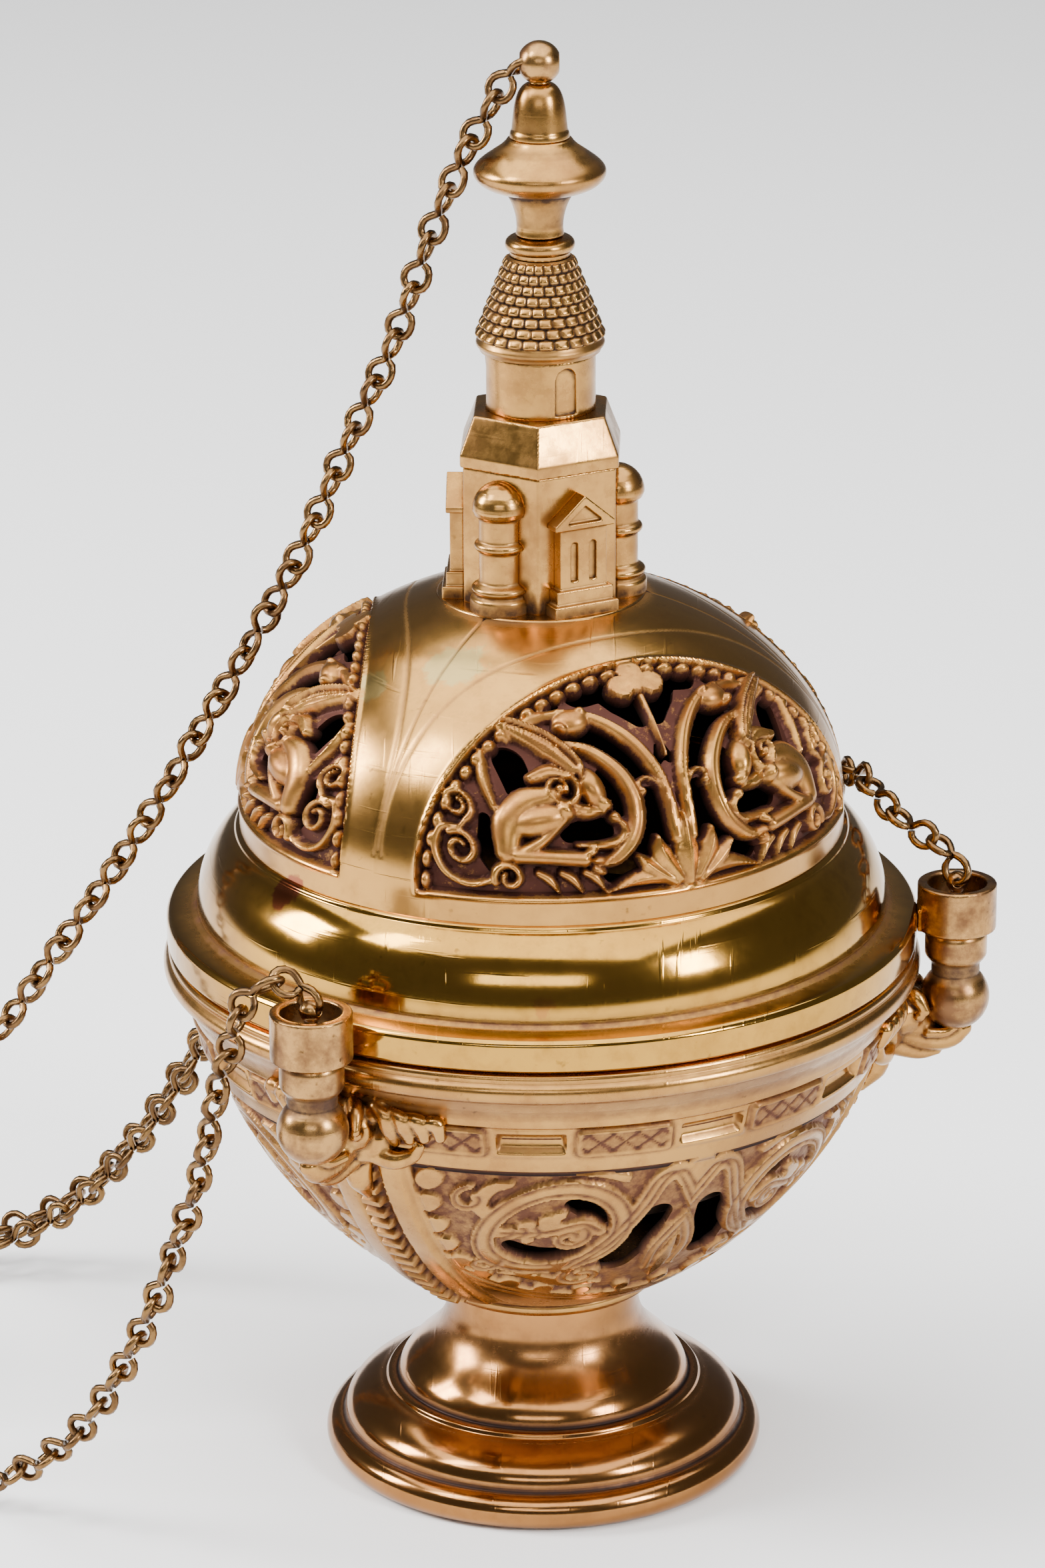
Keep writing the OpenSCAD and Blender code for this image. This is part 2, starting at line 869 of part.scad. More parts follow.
foot();
foot_bolt();
foot_nut();
bowl();
bowl_rib(right);  // bowl_rib_right
bowl_rib(rear);  // bowl_rib_rear
bowl_rib(left);  // bowl_rib_left
mask(right);  // mask_right
mask(rear);  // mask_rear
mask(left);  // mask_left
post(right);  // post_right
post(rear);  // post_rear
post(left);  // post_left
chain_eye(right);  // chain_eye_right
chain_eye(rear);  // chain_eye_rear
chain_eye(left);  // chain_eye_left
fire_pan();
lid_shell();
grille(panel_front);  // grille_front
grille(panel_rear);  // grille_rear
grille(panel_side);  // grille_side
guide_ring(right);  // guide_ring_right
guide_ring(rear);  // guide_ring_rear
guide_ring(left);  // guide_ring_left
tower_body();
turret(right);  // turret_right
turret(rear);  // turret_rear
turret(left);  // turret_left
gable(panel_front);  // gable_front
gable(panel_rear);  // gable_rear
gable(panel_side);  // gable_side
tower_roof();
tower_drum();
cone_roof();
spire_collar();
spire_knop();
spire_bell();
ball_eye();
tie_rod();
tie_nut();
handpiece_disc();
handpiece_bush();
handpiece_eyes();
swivel_stud();
finger_ring();
lift_knob();
lift_ring();
chain_tube(route_left);  // chain_left
chain_tube(route_right);  // chain_right
chain_tube(route_rear);  // chain_rear
chain_tube(route_lid);  // chain_lid
coil(0);  // coil_left
coil(1);  // coil_right
coil(2);  // coil_rear
coil(3);  // coil_lid
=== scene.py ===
"""A footed brass thurible with a pierced domed lid, its four chains and its hand-piece."""
import math
import random

import bpy
import numpy as np
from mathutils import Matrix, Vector


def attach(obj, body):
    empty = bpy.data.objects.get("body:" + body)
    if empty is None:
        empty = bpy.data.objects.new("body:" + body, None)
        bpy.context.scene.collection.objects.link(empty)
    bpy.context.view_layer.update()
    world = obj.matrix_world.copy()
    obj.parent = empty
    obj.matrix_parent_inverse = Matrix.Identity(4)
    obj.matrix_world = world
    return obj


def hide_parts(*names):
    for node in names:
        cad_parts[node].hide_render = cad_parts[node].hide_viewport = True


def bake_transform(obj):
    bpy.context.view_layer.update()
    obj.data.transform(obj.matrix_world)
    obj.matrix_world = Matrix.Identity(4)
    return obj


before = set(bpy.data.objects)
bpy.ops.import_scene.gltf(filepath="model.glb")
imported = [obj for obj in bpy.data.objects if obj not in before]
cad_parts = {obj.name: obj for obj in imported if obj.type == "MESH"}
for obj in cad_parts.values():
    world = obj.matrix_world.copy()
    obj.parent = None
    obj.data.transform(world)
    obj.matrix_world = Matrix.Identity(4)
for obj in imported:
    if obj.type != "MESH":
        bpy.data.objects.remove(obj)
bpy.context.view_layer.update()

MM = 0.001
SEED = 7
RIGHT, REAR, LEFT = 0, 120, 240
STRAPS = {"right": RIGHT, "rear": REAR, "left": LEFT}
PANELS = {"front": 300, "rear": 60, "side": 180}


def place(angle, radius, z=0.0):
    """A point at that angle, in degrees, and distance from the axis."""
    a = math.radians(angle)
    return Vector((radius * math.cos(a), radius * math.sin(a), z))


def hump(x, width):
    """1 where x is 0, falling away smoothly to both sides."""
    return np.exp(-((x / width) ** 2))


def rise(x, width):
    """A straight slope from 0 where x is 0 to 1 where x is width."""
    return np.clip(x / width, 0, 1)


def ease(t):
    """A smooth step from 0 to 1."""
    return t * t * (3 - 2 * t)


def run_along(points):
    """Each point's distance from the first one, along the line through them."""
    return np.concatenate([[0], np.cumsum(np.linalg.norm(np.diff(points, axis=0), axis=1))])


def unit_rows(vectors):
    return vectors / np.linalg.norm(vectors, axis=1)[:, None]


def spline(a, b, c, d, t):
    """The point at t, from 0 to 1, between b and c on a smooth line through four points."""
    bend = (2 * a - 5 * b + 4 * c - d) * t**2 + (3 * b - a - 3 * c + d) * t**3
    return 0.5 * (2 * b + (c - a) * t + bend)


# ---- Camera, floor and lights ---------------------------------------------------

CAMERA_ANGLE = 271.8
CAMERA_AWAY = 0.9461
CAMERA_HIGH = 0.4636
CAMERA_DOWN = 19.853
CAMERA_ROLL = 0.18
CAMERA_LENS = 136.7
CAMERA_SHIFT = -0.0081
LIGHTS_AIM = Vector((0, 0, 0.12))
FLOOR_HALF = 6.0


def make_camera():
    data = bpy.data.cameras.new("camera")
    data.sensor_fit = "VERTICAL"
    data.sensor_height = 36
    data.lens = CAMERA_LENS
    data.shift_x = CAMERA_SHIFT
    data.clip_end = 50
    camera = bpy.data.objects.new("camera", data)
    camera.location = place(CAMERA_ANGLE, CAMERA_AWAY, CAMERA_HIGH)
    turn = math.radians(CAMERA_ANGLE - 270)
    camera.rotation_euler = (math.radians(90 - CAMERA_DOWN), math.radians(CAMERA_ROLL), turn)
    bpy.context.collection.objects.link(camera)
    bpy.context.scene.camera = camera


def softbox(name, angle, away, high, size, power):
    data = bpy.data.lights.new(name, "AREA")
    data.shape = "RECTANGLE"
    data.size, data.size_y = size
    data.energy = power
    lamp = bpy.data.objects.new(name, data)
    lamp.location = place(angle, away, high)
    lamp.rotation_euler = (LIGHTS_AIM - lamp.location).to_track_quat("-Z", "Y").to_euler()
    bpy.context.collection.objects.link(lamp)


def make_studio():
    floor = bpy.data.objects.new("floor", bpy.data.meshes.new("floor"))
    corners = [(x * FLOOR_HALF, y * FLOOR_HALF, 0) for x, y in ((-1, -1), (1, -1), (1, 1), (-1, 1))]
    floor.data.from_pydata(corners, [], [(0, 1, 2, 3)])
    bpy.context.collection.objects.link(floor)
    paper = bpy.data.materials.new("paper")
    paper.use_nodes = True
    shader = paper.node_tree.nodes["Principled BSDF"]
    shader.inputs["Base Color"].default_value = (0.9, 0.9, 0.9, 1)
    shader.inputs["Roughness"].default_value = 0.7
    shader.inputs["Specular IOR Level"].default_value = 0.2
    floor.data.materials.append(paper)
    world = bpy.data.worlds.new("studio")
    world.use_nodes = True
    world.node_tree.nodes["Background"].inputs["Color"].default_value = (0.97, 0.98, 1, 1)
    world.node_tree.nodes["Background"].inputs["Strength"].default_value = 0.14
    bpy.context.scene.world = world
    softbox("top_box", 262, 0.1, 1.5, (2.3, 2.1), 70)
    softbox("strap_box", 206, 1.0, 1.25, (0.3, 0.5), 9)
    softbox("left_box", 178, 1.2, 0.72, (0.36, 0.5), 26)
    softbox("right_box", -36, 1.3, 0.72, (0.3, 0.42), 20)
    softbox("front_box", 268, 1.7, 0.9, (1.1, 0.3), 6)


make_camera()
make_studio()

# ---- Materials ---------------------------------------------------------------------


class Nodes:
    """Short calls for building one material's nodes."""

    def __init__(self, name):
        self.material = bpy.data.materials.new(name)
        self.material.use_nodes = True
        self.tree = self.material.node_tree
        self.shader = self.tree.nodes["Principled BSDF"]
        self.place = self.add("ShaderNodeTexCoord").outputs["Object"]

    def add(self, kind, inputs=None, **values):
        node = self.tree.nodes.new(kind)
        for key, value in values.items():
            setattr(node, key, value)
        for key, value in (inputs or {}).items():
            self.put(node.inputs[key], value)
        return node

    def put(self, target, value):
        """Links a socket to the target, or sets its value. Colours come without their alpha."""
        if isinstance(value, bpy.types.NodeSocket):
            self.tree.links.new(value, target)
        elif isinstance(value, (tuple, list)):
            target.default_value = (*value, 1)[:len(target.default_value)]
        else:
            target.default_value = value

    def stretched(self, scale, turn):
        inputs = {"Vector": self.place, "Scale": scale, "Rotation": turn}
        return self.add("ShaderNodeMapping", inputs).outputs["Vector"]

    def noise(self, scale, detail, roughness, vector=None):
        inputs = {"Vector": vector or self.place, "Scale": scale, "Detail": detail, "Roughness": roughness}
        return self.add("ShaderNodeTexNoise", inputs).outputs["Fac"]

    def ramp(self, value, low, high, to_low=0.0, to_high=1.0):
        inputs = {"Value": value, "From Min": low, "From Max": high, "To Min": to_low, "To Max": to_high}
        return self.add("ShaderNodeMapRange", inputs).outputs["Result"]

    def sums(self, operation, a, b):
        return self.add("ShaderNodeMath", {0: a, 1: b}, operation=operation).outputs[0]

    def mix(self, amount, a, b):
        return self.add("ShaderNodeMix", {0: amount, 6: a, 7: b}, data_type="RGBA").outputs[2]

    def spot(self, centre, size):
        """1 within about size of a place, both in millimetres, with a ragged edge."""
        inputs = {0: self.place, 1: [c * MM for c in centre]}
        away = self.add("ShaderNodeVectorMath", inputs, operation="DISTANCE").outputs["Value"]
        size = size * MM
        ragged = self.ramp(self.noise(0.45 / size, 5, 0.65), 0.3, 0.7, -0.6 * size, 0.6 * size)
        return self.ramp(self.sums("ADD", away, ragged), 0.8 * size, size, 1, 0)

    def bump(self, height, strength, distance, under=None):
        inputs = {"Strength": strength, "Distance": distance, "Height": height}
        if under:
            inputs["Normal"] = under
        return self.add("ShaderNodeBump", inputs).outputs["Normal"]


# Near black, painted as shade into the deepest hollows
PAINTED_SHADE_BLACK = (0.018, 0.008, 0.006)


def metal(name, light, dark, grime, polish, mottle, spots, scratch, rough,
          grime_and_shade_gain=1.0, marks=(), grain=1.0):
    """Brass with uneven tone, tarnish spots, fine scratches, stains, painted highlights and a painted
    reflection from the marks, and dirt with painted shade in the hollows where the mesh says so.
    """
    n = Nodes(name)
    broad = n.noise(28 * grain, 6, 0.62)
    fine = n.noise(260, 5, 0.65)
    tone = n.mix(n.ramp(broad, 0.42, 0.62, 0, mottle), light, dark)
    tone = n.mix(n.ramp(fine, 0.48, 0.72, 0, mottle * 0.9), tone, dark)
    speck = n.ramp(n.noise(620, 2, 0.5), 0.66, 0.74)
    patch = n.ramp(n.noise(55, 4, 0.6), 0.5, 0.62)
    stain = n.sums("MULTIPLY", n.sums("MULTIPLY", speck, patch), spots)
    tone = n.mix(stain, tone, [c * 0.35 for c in dark])
    for centre, size, colour, strength in marks:
        tone = n.mix(n.sums("MULTIPLY", n.spot(centre, size), strength), tone, colour)
    # The attribute read here says how deep each point lies in a hollow: dirt there, and painted shade too
    cavity = n.add("ShaderNodeAttribute", attribute_name="grime").outputs["Fac"]
    patchy = n.sums("MULTIPLY", cavity, n.ramp(n.noise(420, 5, 0.7), 0.25, 0.7, 0.45, 1.25 * grime_and_shade_gain))
    patchy.node.use_clamp = True
    tone = n.mix(patchy, tone, grime)
    # Painted shade: the deepest hollows go near black
    tone = n.mix(n.ramp(cavity, 0.68, 0.98), tone, PAINTED_SHADE_BLACK)
    n.put(n.shader.inputs["Base Color"], tone)
    along = n.noise(900, 2, 0.5, n.stretched((0.05, 0.05, 1), (0.4, 0.2, 0.1)))
    across = n.noise(900, 2, 0.5, n.stretched((1, 0.06, 0.08), (0.1, 0.5, 0.9)))
    lines = n.sums("ADD", n.ramp(along, 0.62, 0.72), n.ramp(across, 0.64, 0.74))
    shine = n.ramp(broad, 0.3, 0.7, polish[0], polish[1])
    shine = n.sums("ADD", shine, n.ramp(fine, 0.4, 0.8, 0, rough))
    shine = n.sums("ADD", shine, n.sums("MULTIPLY", patchy, 0.4))
    n.put(n.shader.inputs["Roughness"], shine)
    n.put(n.shader.inputs["Metallic"], n.ramp(patchy, 0, 1, 1, 0.8))
    normal = n.bump(lines, scratch, 0.00004)
    normal = n.bump(fine, rough * 2, 0.00012, normal)
    n.put(n.shader.inputs["Normal"], normal)
    return n.material


GOLD = (0.47, 0.25, 0.043)
DEEP_GOLD = (0.29, 0.138, 0.025)
PALE_GOLD = (0.43, 0.225, 0.06)
RED_GRIME_AND_SHADE = (0.062, 0.019, 0.012)
TAN_GRIME_AND_SHADE = (0.14, 0.06, 0.028)
# Pale yellow, painted as a highlight on the dome's left strap
PAINTED_STRAP_HIGHLIGHT = (0.42, 0.32, 0.12)
# The places and sizes, in millimetres, and the colours and strengths of six marks: three stains, a painted
# reflection and two painted highlights
MARKS = (
    # Painted highlight on the dome's left strap
    ((-14.8, -25.6, 151.5), 6.5, PAINTED_STRAP_HIGHLIGHT, 0.8),
    ((-40.2, -33.0, 114.6), 3.0, (0.20, 0.03, 0.02), 0.8),
    # Near-black dot painted as the dark spot in the right lamp's reflection on the roll
    ((24.4, -54.8, 104.5), 1.1, (0.02, 0.008, 0.006), 1.0),
    ((2.0, -60.0, 105.0), 2.2, (0.36, 0.12, 0.035), 0.5),
    # Painted highlight on the dome's left strap
    ((-27.5, -24.0, 148.0), 4.0, PAINTED_STRAP_HIGHLIGHT, 0.7),
    ((12.0, -62.0, 92.5), 5.0, (0.32, 0.06, 0.03), 0.5),
)

BRASS = metal("polished_brass", GOLD, DEEP_GOLD, TAN_GRIME_AND_SHADE, (0.07, 0.15), 0.6, 0.8, 0.35, 0.05, 1.3, MARKS)
SATIN = metal("satin_brass", (0.50, 0.26, 0.065), (0.33, 0.16, 0.042), TAN_GRIME_AND_SHADE, (0.15, 0.25),
              0.6, 0.7, 0.45, 0.06, 1.0, MARKS)
RELIEF = metal("relief_brass", (0.54, 0.27, 0.06), (0.33, 0.11, 0.03), RED_GRIME_AND_SHADE, (0.13, 0.24),
               0.5, 0.2, 0.15, 0.12, 2.8, grain=3)
BOWL = metal("bowl_brass", PALE_GOLD, (0.28, 0.13, 0.038), (0.11, 0.042, 0.022), (0.17, 0.28),
             0.7, 0.9, 0.35, 0.1, 1.9, grain=2)
ROSE = metal("rose_brass", (0.36, 0.165, 0.05), (0.22, 0.09, 0.028), TAN_GRIME_AND_SHADE, (0.09, 0.18),
             0.5, 0.4, 0.3, 0.06)
TOWER = metal("tower_brass", PALE_GOLD, (0.25, 0.115, 0.035), (0.05, 0.025, 0.014), (0.16, 0.28),
              0.6, 0.5, 0.2, 0.16, 1.9, grain=4)
WORN = metal("worn_brass", (0.40, 0.215, 0.07), (0.14, 0.065, 0.03), (0.04, 0.024, 0.02), (0.18, 0.32),
             0.95, 0.9, 0.3, 0.2, grain=6)
WORN_GOLD = metal("mask_brass", PALE_GOLD, (0.25, 0.11, 0.035), (0.04, 0.014, 0.008), (0.16, 0.28),
                  0.6, 0.5, 0.2, 0.16, 1.9, grain=4)
CHAIN = metal("chain_brass", (0.21, 0.115, 0.042), (0.09, 0.045, 0.02), (0.05, 0.03, 0.02), (0.18, 0.3),
              0.8, 0.6, 0.1, 0.2, grain=5)
INNER = metal("smoked_brass", (0.035, 0.022, 0.015), (0.016, 0.011, 0.008), PAINTED_SHADE_BLACK, (0.5, 0.7),
              0.6, 0.5, 0.1, 0.3)

# ---- Mesh helpers --------------------------------------------------------------------


def set_grime_and_shade(mesh, grime):
    """The depth of dirt and painted shade at each point, which the materials read."""
    layer = mesh.attributes.new("grime", "FLOAT", "POINT")
    if grime is not None:
        layer.data.foreach_set("value", np.clip(grime, 0, 1).astype(np.float32))


def solid(name, points, faces, material, body, stands_for=(), grime=None, sharp=40):
    """A piece from points in millimetres and lists or arrays of faces."""
    mesh = bpy.data.meshes.new(name)
    points = np.asarray(points, float) * MM
    mesh.from_pydata(points.tolist(), [], faces.tolist() if isinstance(faces, np.ndarray) else faces)
    mesh.shade_smooth()
    mesh.set_sharp_from_angle(angle=math.radians(sharp))
    set_grime_and_shade(mesh, grime)
    piece = bpy.data.objects.new(name, mesh)
    bpy.context.collection.objects.link(piece)
    piece.data.materials.append(material)
    if body:
        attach(piece, body)
    if stands_for:
        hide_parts(*stands_for)
    return piece


def curve(a, b, c, d, n):
    """Points of a cubic curve with end points a, d and pull points b, c."""
    t = np.linspace(0, 1, n + 1)[:, None]
    s = 1 - t
    a, b, c, d = (np.array(p, float) for p in (a, b, c, d))
    return (a * s**3 + 3 * b * s * s * t + 3 * c * s * t * t + d * t**3).tolist()


def arc(centre, radius, start, end, n):
    a = np.radians(np.linspace(start, end, n + 1))
    return np.stack([centre[0] + radius * np.cos(a), centre[1] + radius * np.sin(a)], 1).tolist()


def softened(outline, reach):
    """The same closed outline with its corners rounded off, but for the axis and slight bends."""
    slight = 18
    out = []
    count = len(outline)
    for i in range(count):
        before, here, after = (np.array(outline[(i + k) % count], float) for k in (-1, 0, 1))
        u, v = before - here, after - here
        lu, lv = np.linalg.norm(u), np.linalg.norm(v)
        if min(lu, lv) < 1e-6:
            continue
        turn = math.degrees(math.acos(np.clip(-(u @ v) / (lu * lv), -1, 1)))
        if turn < slight or here[0] < 0.01:
            out.append(here)
            continue
        size = min(reach, 0.45 * lu, 0.45 * lv)
        a, b = here + u / lu * size, here + v / lv * size
        for t in np.linspace(0, 1, 5):
            out.append(a * (1 - t) ** 2 + 2 * here * t * (1 - t) + b * t * t)
    return np.array(out)


def twice_area(p):
    return np.sum(p[:, 0] * np.roll(p[:, 1], -1) - np.roll(p[:, 0], -1) * p[:, 1])


def hollows(p, gain):
    """How deep each point of a closed outline lies below its surroundings, from 0 to 1."""
    width = 1.6
    count = len(p)
    out = np.zeros(count)
    for i in range(count):
        ahead, behind, k, j = 0.0, 0.0, i, i
        while ahead < width:
            ahead += np.linalg.norm(p[(k + 1) % count] - p[k % count])
            k += 1
        while behind < width:
            behind += np.linalg.norm(p[(j - 1) % count] - p[j % count])
            j -= 1
        chord = p[k % count] - p[j % count]
        off = p[i] - 0.5 * (p[k % count] + p[j % count])
        length = max(np.linalg.norm(chord), 0.2)
        out[i] = gain * (chord[0] * off[1] - chord[1] * off[0]) / length
    return np.clip(out, 0, 1)


def lathe(name, outline, material, body, stands_for, sides, at=(0, 0), grime=1.0, soft=0.3):
    """A turned piece from a closed outline of radius and height in millimetres."""
    p = softened(outline, soft)
    if twice_area(p) < 0:
        p = p[::-1]
    # Hollows of the outline get dirt and painted shade
    dirt_and_shade = hollows(p, grime)
    a = np.radians(np.arange(sides) * 360 / sides)
    radius, high = p[:, 0][:, None], p[:, 1][:, None]
    points = np.stack([at[0] + radius * np.cos(a), at[1] + radius * np.sin(a), high + 0 * a], 2)
    rows = len(p)
    j, i = np.meshgrid(np.arange(rows), np.arange(sides), indexing="ij")
    k, m = (j + 1) % rows, (i + 1) % sides
    faces = np.stack([j * sides + i, j * sides + m, k * sides + m, k * sides + i], 2).reshape(-1, 4)
    on_axis = p[:, 0] < 1e-6
    keep = ~(on_axis[j] & on_axis[k]).reshape(-1)
    points, faces = points.reshape(-1, 3), faces[keep]
    return solid(name, points, faces, material, body, stands_for, np.repeat(dirt_and_shade, sides))


# ---- Relief, drawn flat and then wrapped round a turned surface -------------------------


def smooth_line(points):
    """Points on a smooth line through the given ones, and each one's place from 0 to 1."""
    p = np.array(points, float)
    if len(p) < 3:
        t = np.linspace(0, 1, 6)
        return p[0] + (p[-1] - p[0]) * t[:, None], t
    q = np.vstack([2 * p[0] - p[1], p, 2 * p[-1] - p[-2]])
    out, place_along = [], []
    for i in range(1, len(q) - 2):
        for t in np.linspace(0, 1, 7, endpoint=False):
            out.append(spline(*q[i - 1:i + 3], t))
            place_along.append((i - 1 + t) / (len(p) - 1))
    return np.array(out + [p[-1]]), np.array(place_along + [1.0])


def spiral(centre, r0, r1, start, sweep, n):
    """Points of a spiral about a centre, from radius r0 to r1, angles in degrees."""
    a = np.radians(np.linspace(start, start + sweep, n + 1))
    r = np.linspace(r0, r1, n + 1)
    return np.stack([centre[0] + r * np.cos(a), centre[1] + r * np.sin(a)], 1).tolist()


def rounded_path(points, step=0.001):
    """Points a step apart on a smooth line through the given points."""
    p = np.array(points, float)
    p = np.vstack([2 * p[0] - p[1], p, 2 * p[-1] - p[-2]])
    dense = [spline(*p[i - 1:i + 3], t)
             for i in range(1, len(p) - 2) for t in np.linspace(0, 1, 24, endpoint=False)]
    dense = np.array(dense + [p[-2]])
    run = run_along(dense)
    at = np.linspace(0, run[-1], max(2, int(round(run[-1] / step))) + 1)
    return np.stack([np.interp(at, run, dense[:, k]) for k in range(3)], 1)


FLAT_EDGE = 0.35


class Relief:
    """Heights and holes of one panel's left half, in millimetres, on a flat sheet."""

    step = 0.2

    def __init__(self, wide, low, high):
        self.left, self.low = -wide, low
        self.x, self.y = np.meshgrid(np.arange(-wide, 1.2, self.step), np.arange(low, high, self.step))
        self.high = np.zeros_like(self.x)
        self.inside = np.full_like(self.x, -9.0)
        self.hole = np.full_like(self.x, -9.0)
        self.cut = np.zeros_like(self.x)

    def span(self, along, first, count):
        """The rows or columns of the sheet that hold a stretch of it."""
        low, high = (np.clip(int((v - first) / self.step), 0, count) for v in along)
        return slice(low, high)

    def distance(self, points, widths, reach):
        """For the sheet near a line: distance over half width, half width, signed offset and gap."""
        line, t = smooth_line(points)
        half = np.interp(t, np.linspace(0, 1, len(np.atleast_1d(widths))), np.atleast_1d(widths))
        far = half.max() + reach
        (x0, y0), (x1, y1) = line.min(0) - far, line.max(0) + far
        rows, columns = self.x.shape
        window = (self.span((y0, y1), self.low, rows), self.span((x0, x1), self.left, columns))
        x, y = self.x[window], self.y[window]
        best = np.full(x.shape, 99.0)
        gap, half_at, side = best.copy(), np.ones(x.shape), np.zeros(x.shape)
        for k in range(len(line) - 1):
            a, d = line[k], line[k + 1] - line[k]
            f = np.clip(((x - a[0]) * d[0] + (y - a[1]) * d[1]) / max(d @ d, 1e-9), 0, 1)
            ex, ey = x - a[0] - f * d[0], y - a[1] - f * d[1]
            w = half[k] + (half[k + 1] - half[k]) * f
            e = np.hypot(ex, ey)
            nearer = e - w < gap
            gap = np.where(nearer, e - w, gap)
            best = np.where(nearer, e / np.maximum(w, 0.05), best)
            half_at = np.where(nearer, w, half_at)
            side = np.where(nearer, np.sign(d[0] * ey - d[1] * ex) * e, side)
        return window, best, half_at, side, gap

    def stroke(self, points, widths, height, ridges=0, flat=False):
        """A raised stroke along a smooth line, round or flat on top, with ridges if asked."""
        window, q, half, side, gap = self.distance(points, widths, 2.5)
        if flat:
            top = height * ease(rise(-gap, FLAT_EDGE))
        else:
            top = height * np.sqrt(np.clip(1 - q * q, 0, 1))
        if ridges:
            top = top - 0.16 * height * (1 - np.abs(np.cos(np.pi * (ridges * (side / half + 1) / 2)))) ** 0.6
        top = np.where(gap < 0, top, 0)
        self.high[window] = np.maximum(self.high[window], top)
        self.inside[window] = np.maximum(self.inside[window], -gap)

    def blob(self, centre, rx, ry, turn, height, flat=False):
        """A raised oval."""
        a = math.radians(turn)
        dx, dy = self.x - centre[0], self.y - centre[1]
        q = np.hypot((dx * math.cos(a) + dy * math.sin(a)) / rx, (dy * math.cos(a) - dx * math.sin(a)) / ry)
        within = (1 - q) * min(rx, ry)
        top = rise(within, FLAT_EDGE) if flat else np.sqrt(np.clip(1 - q * q, 0, 1))
        self.high = np.maximum(self.high, height * top)
        self.inside = np.maximum(self.inside, within)

    def gap(self, points, widths):
        """A hole along a smooth line. Strokes that cross it stay."""
        window, _, _, _, gap = self.distance(points, widths, 2.5)
        self.hole[window] = np.maximum(self.hole[window], -gap)

    def line(self, points):
        """An engraved line."""
        half, depth = 0.2, 0.34
        window, _, _, _, gap = self.distance(points, half, 1.0)
        self.cut[window] = np.maximum(self.cut[window], depth * hump(gap + half, 1.6 * half))

    def opening(self):
        """Above 0 in the holes, outside every stroke and its thin edge."""
        return np.minimum(self.hole, -self.inside - 0.12)

    def read(self, field, x, y):
        """The sheet's value at each point, the right half being the left half's mirror image."""
        u = (-np.abs(x) - self.left) / self.step
        v = (y - self.low) / self.step
        u = np.clip(u, 0, field.shape[1] - 1.001)
        v = np.clip(v, 0, field.shape[0] - 1.001)
        i, j = u.astype(int), v.astype(int)
        fu, fv = u - i, v - j
        return ((field[j, i] * (1 - fu) + field[j, i + 1] * fu) * (1 - fv)
                + (field[j + 1, i] * (1 - fu) + field[j + 1, i + 1] * fu) * fv)


def blurred(field, passes):
    for _ in range(passes):
        wide = np.pad(field, 1, mode="edge")
        field = (wide[1:-1, :-2] + wide[1:-1, 2:] + wide[:-2, 1:-1] + wide[2:, 1:-1] + 2 * field) / 6
    return field


class Profile:
    """A meridian of a turned surface, with distances measured along it from a given height."""

    def __init__(self, points, zero_z):
        p = np.array(points, float)
        run = run_along(p)
        self.run = run - np.interp(zero_z, p[:, 1], run)
        self.p = p
        d = unit_rows(np.gradient(p, run, axis=0))
        self.normal = np.stack([d[:, 1], -d[:, 0]], 1)

    def at(self, s):
        return np.interp(s, self.run, self.p[:, 0]), np.interp(s, self.run, self.p[:, 1])

    def normal_at(self, s):
        return np.interp(s, self.run, self.normal[:, 0]), np.interp(s, self.run, self.normal[:, 1])


def shell_grid(profile, step, columns):
    """Turns all the way round, in radians, and distances all along a profile."""
    s = np.append(np.arange(profile.run[0], profile.run[-1], step), profile.run[-1])
    return np.meshgrid(np.radians(np.arange(columns) * 360 / columns), s)


def slide_to_edge(f, keep, closed):
    """How far, in rows and columns, points beside the openings move to where f is 0."""
    rows, cols = f.shape
    touch_keep, touch_open = np.zeros(f.shape, bool), np.zeros(f.shape, bool)
    for j in (0, 1):
        for i in (0, 1):
            part = (slice(j, j + rows - 1), slice(None) if closed else slice(i, i + cols - 1))
            beside = np.roll(keep, i, 1) if closed else keep
            touch_keep[part] |= beside
            touch_open[part] |= ~beside
    by_row, by_col = np.gradient(f)
    scale = np.where(touch_keep & touch_open, -f / np.maximum(by_row**2 + by_col**2, 1e-9), 0)
    return (np.clip(scale * slope, -0.62, 0.62) for slope in (by_row, by_col))


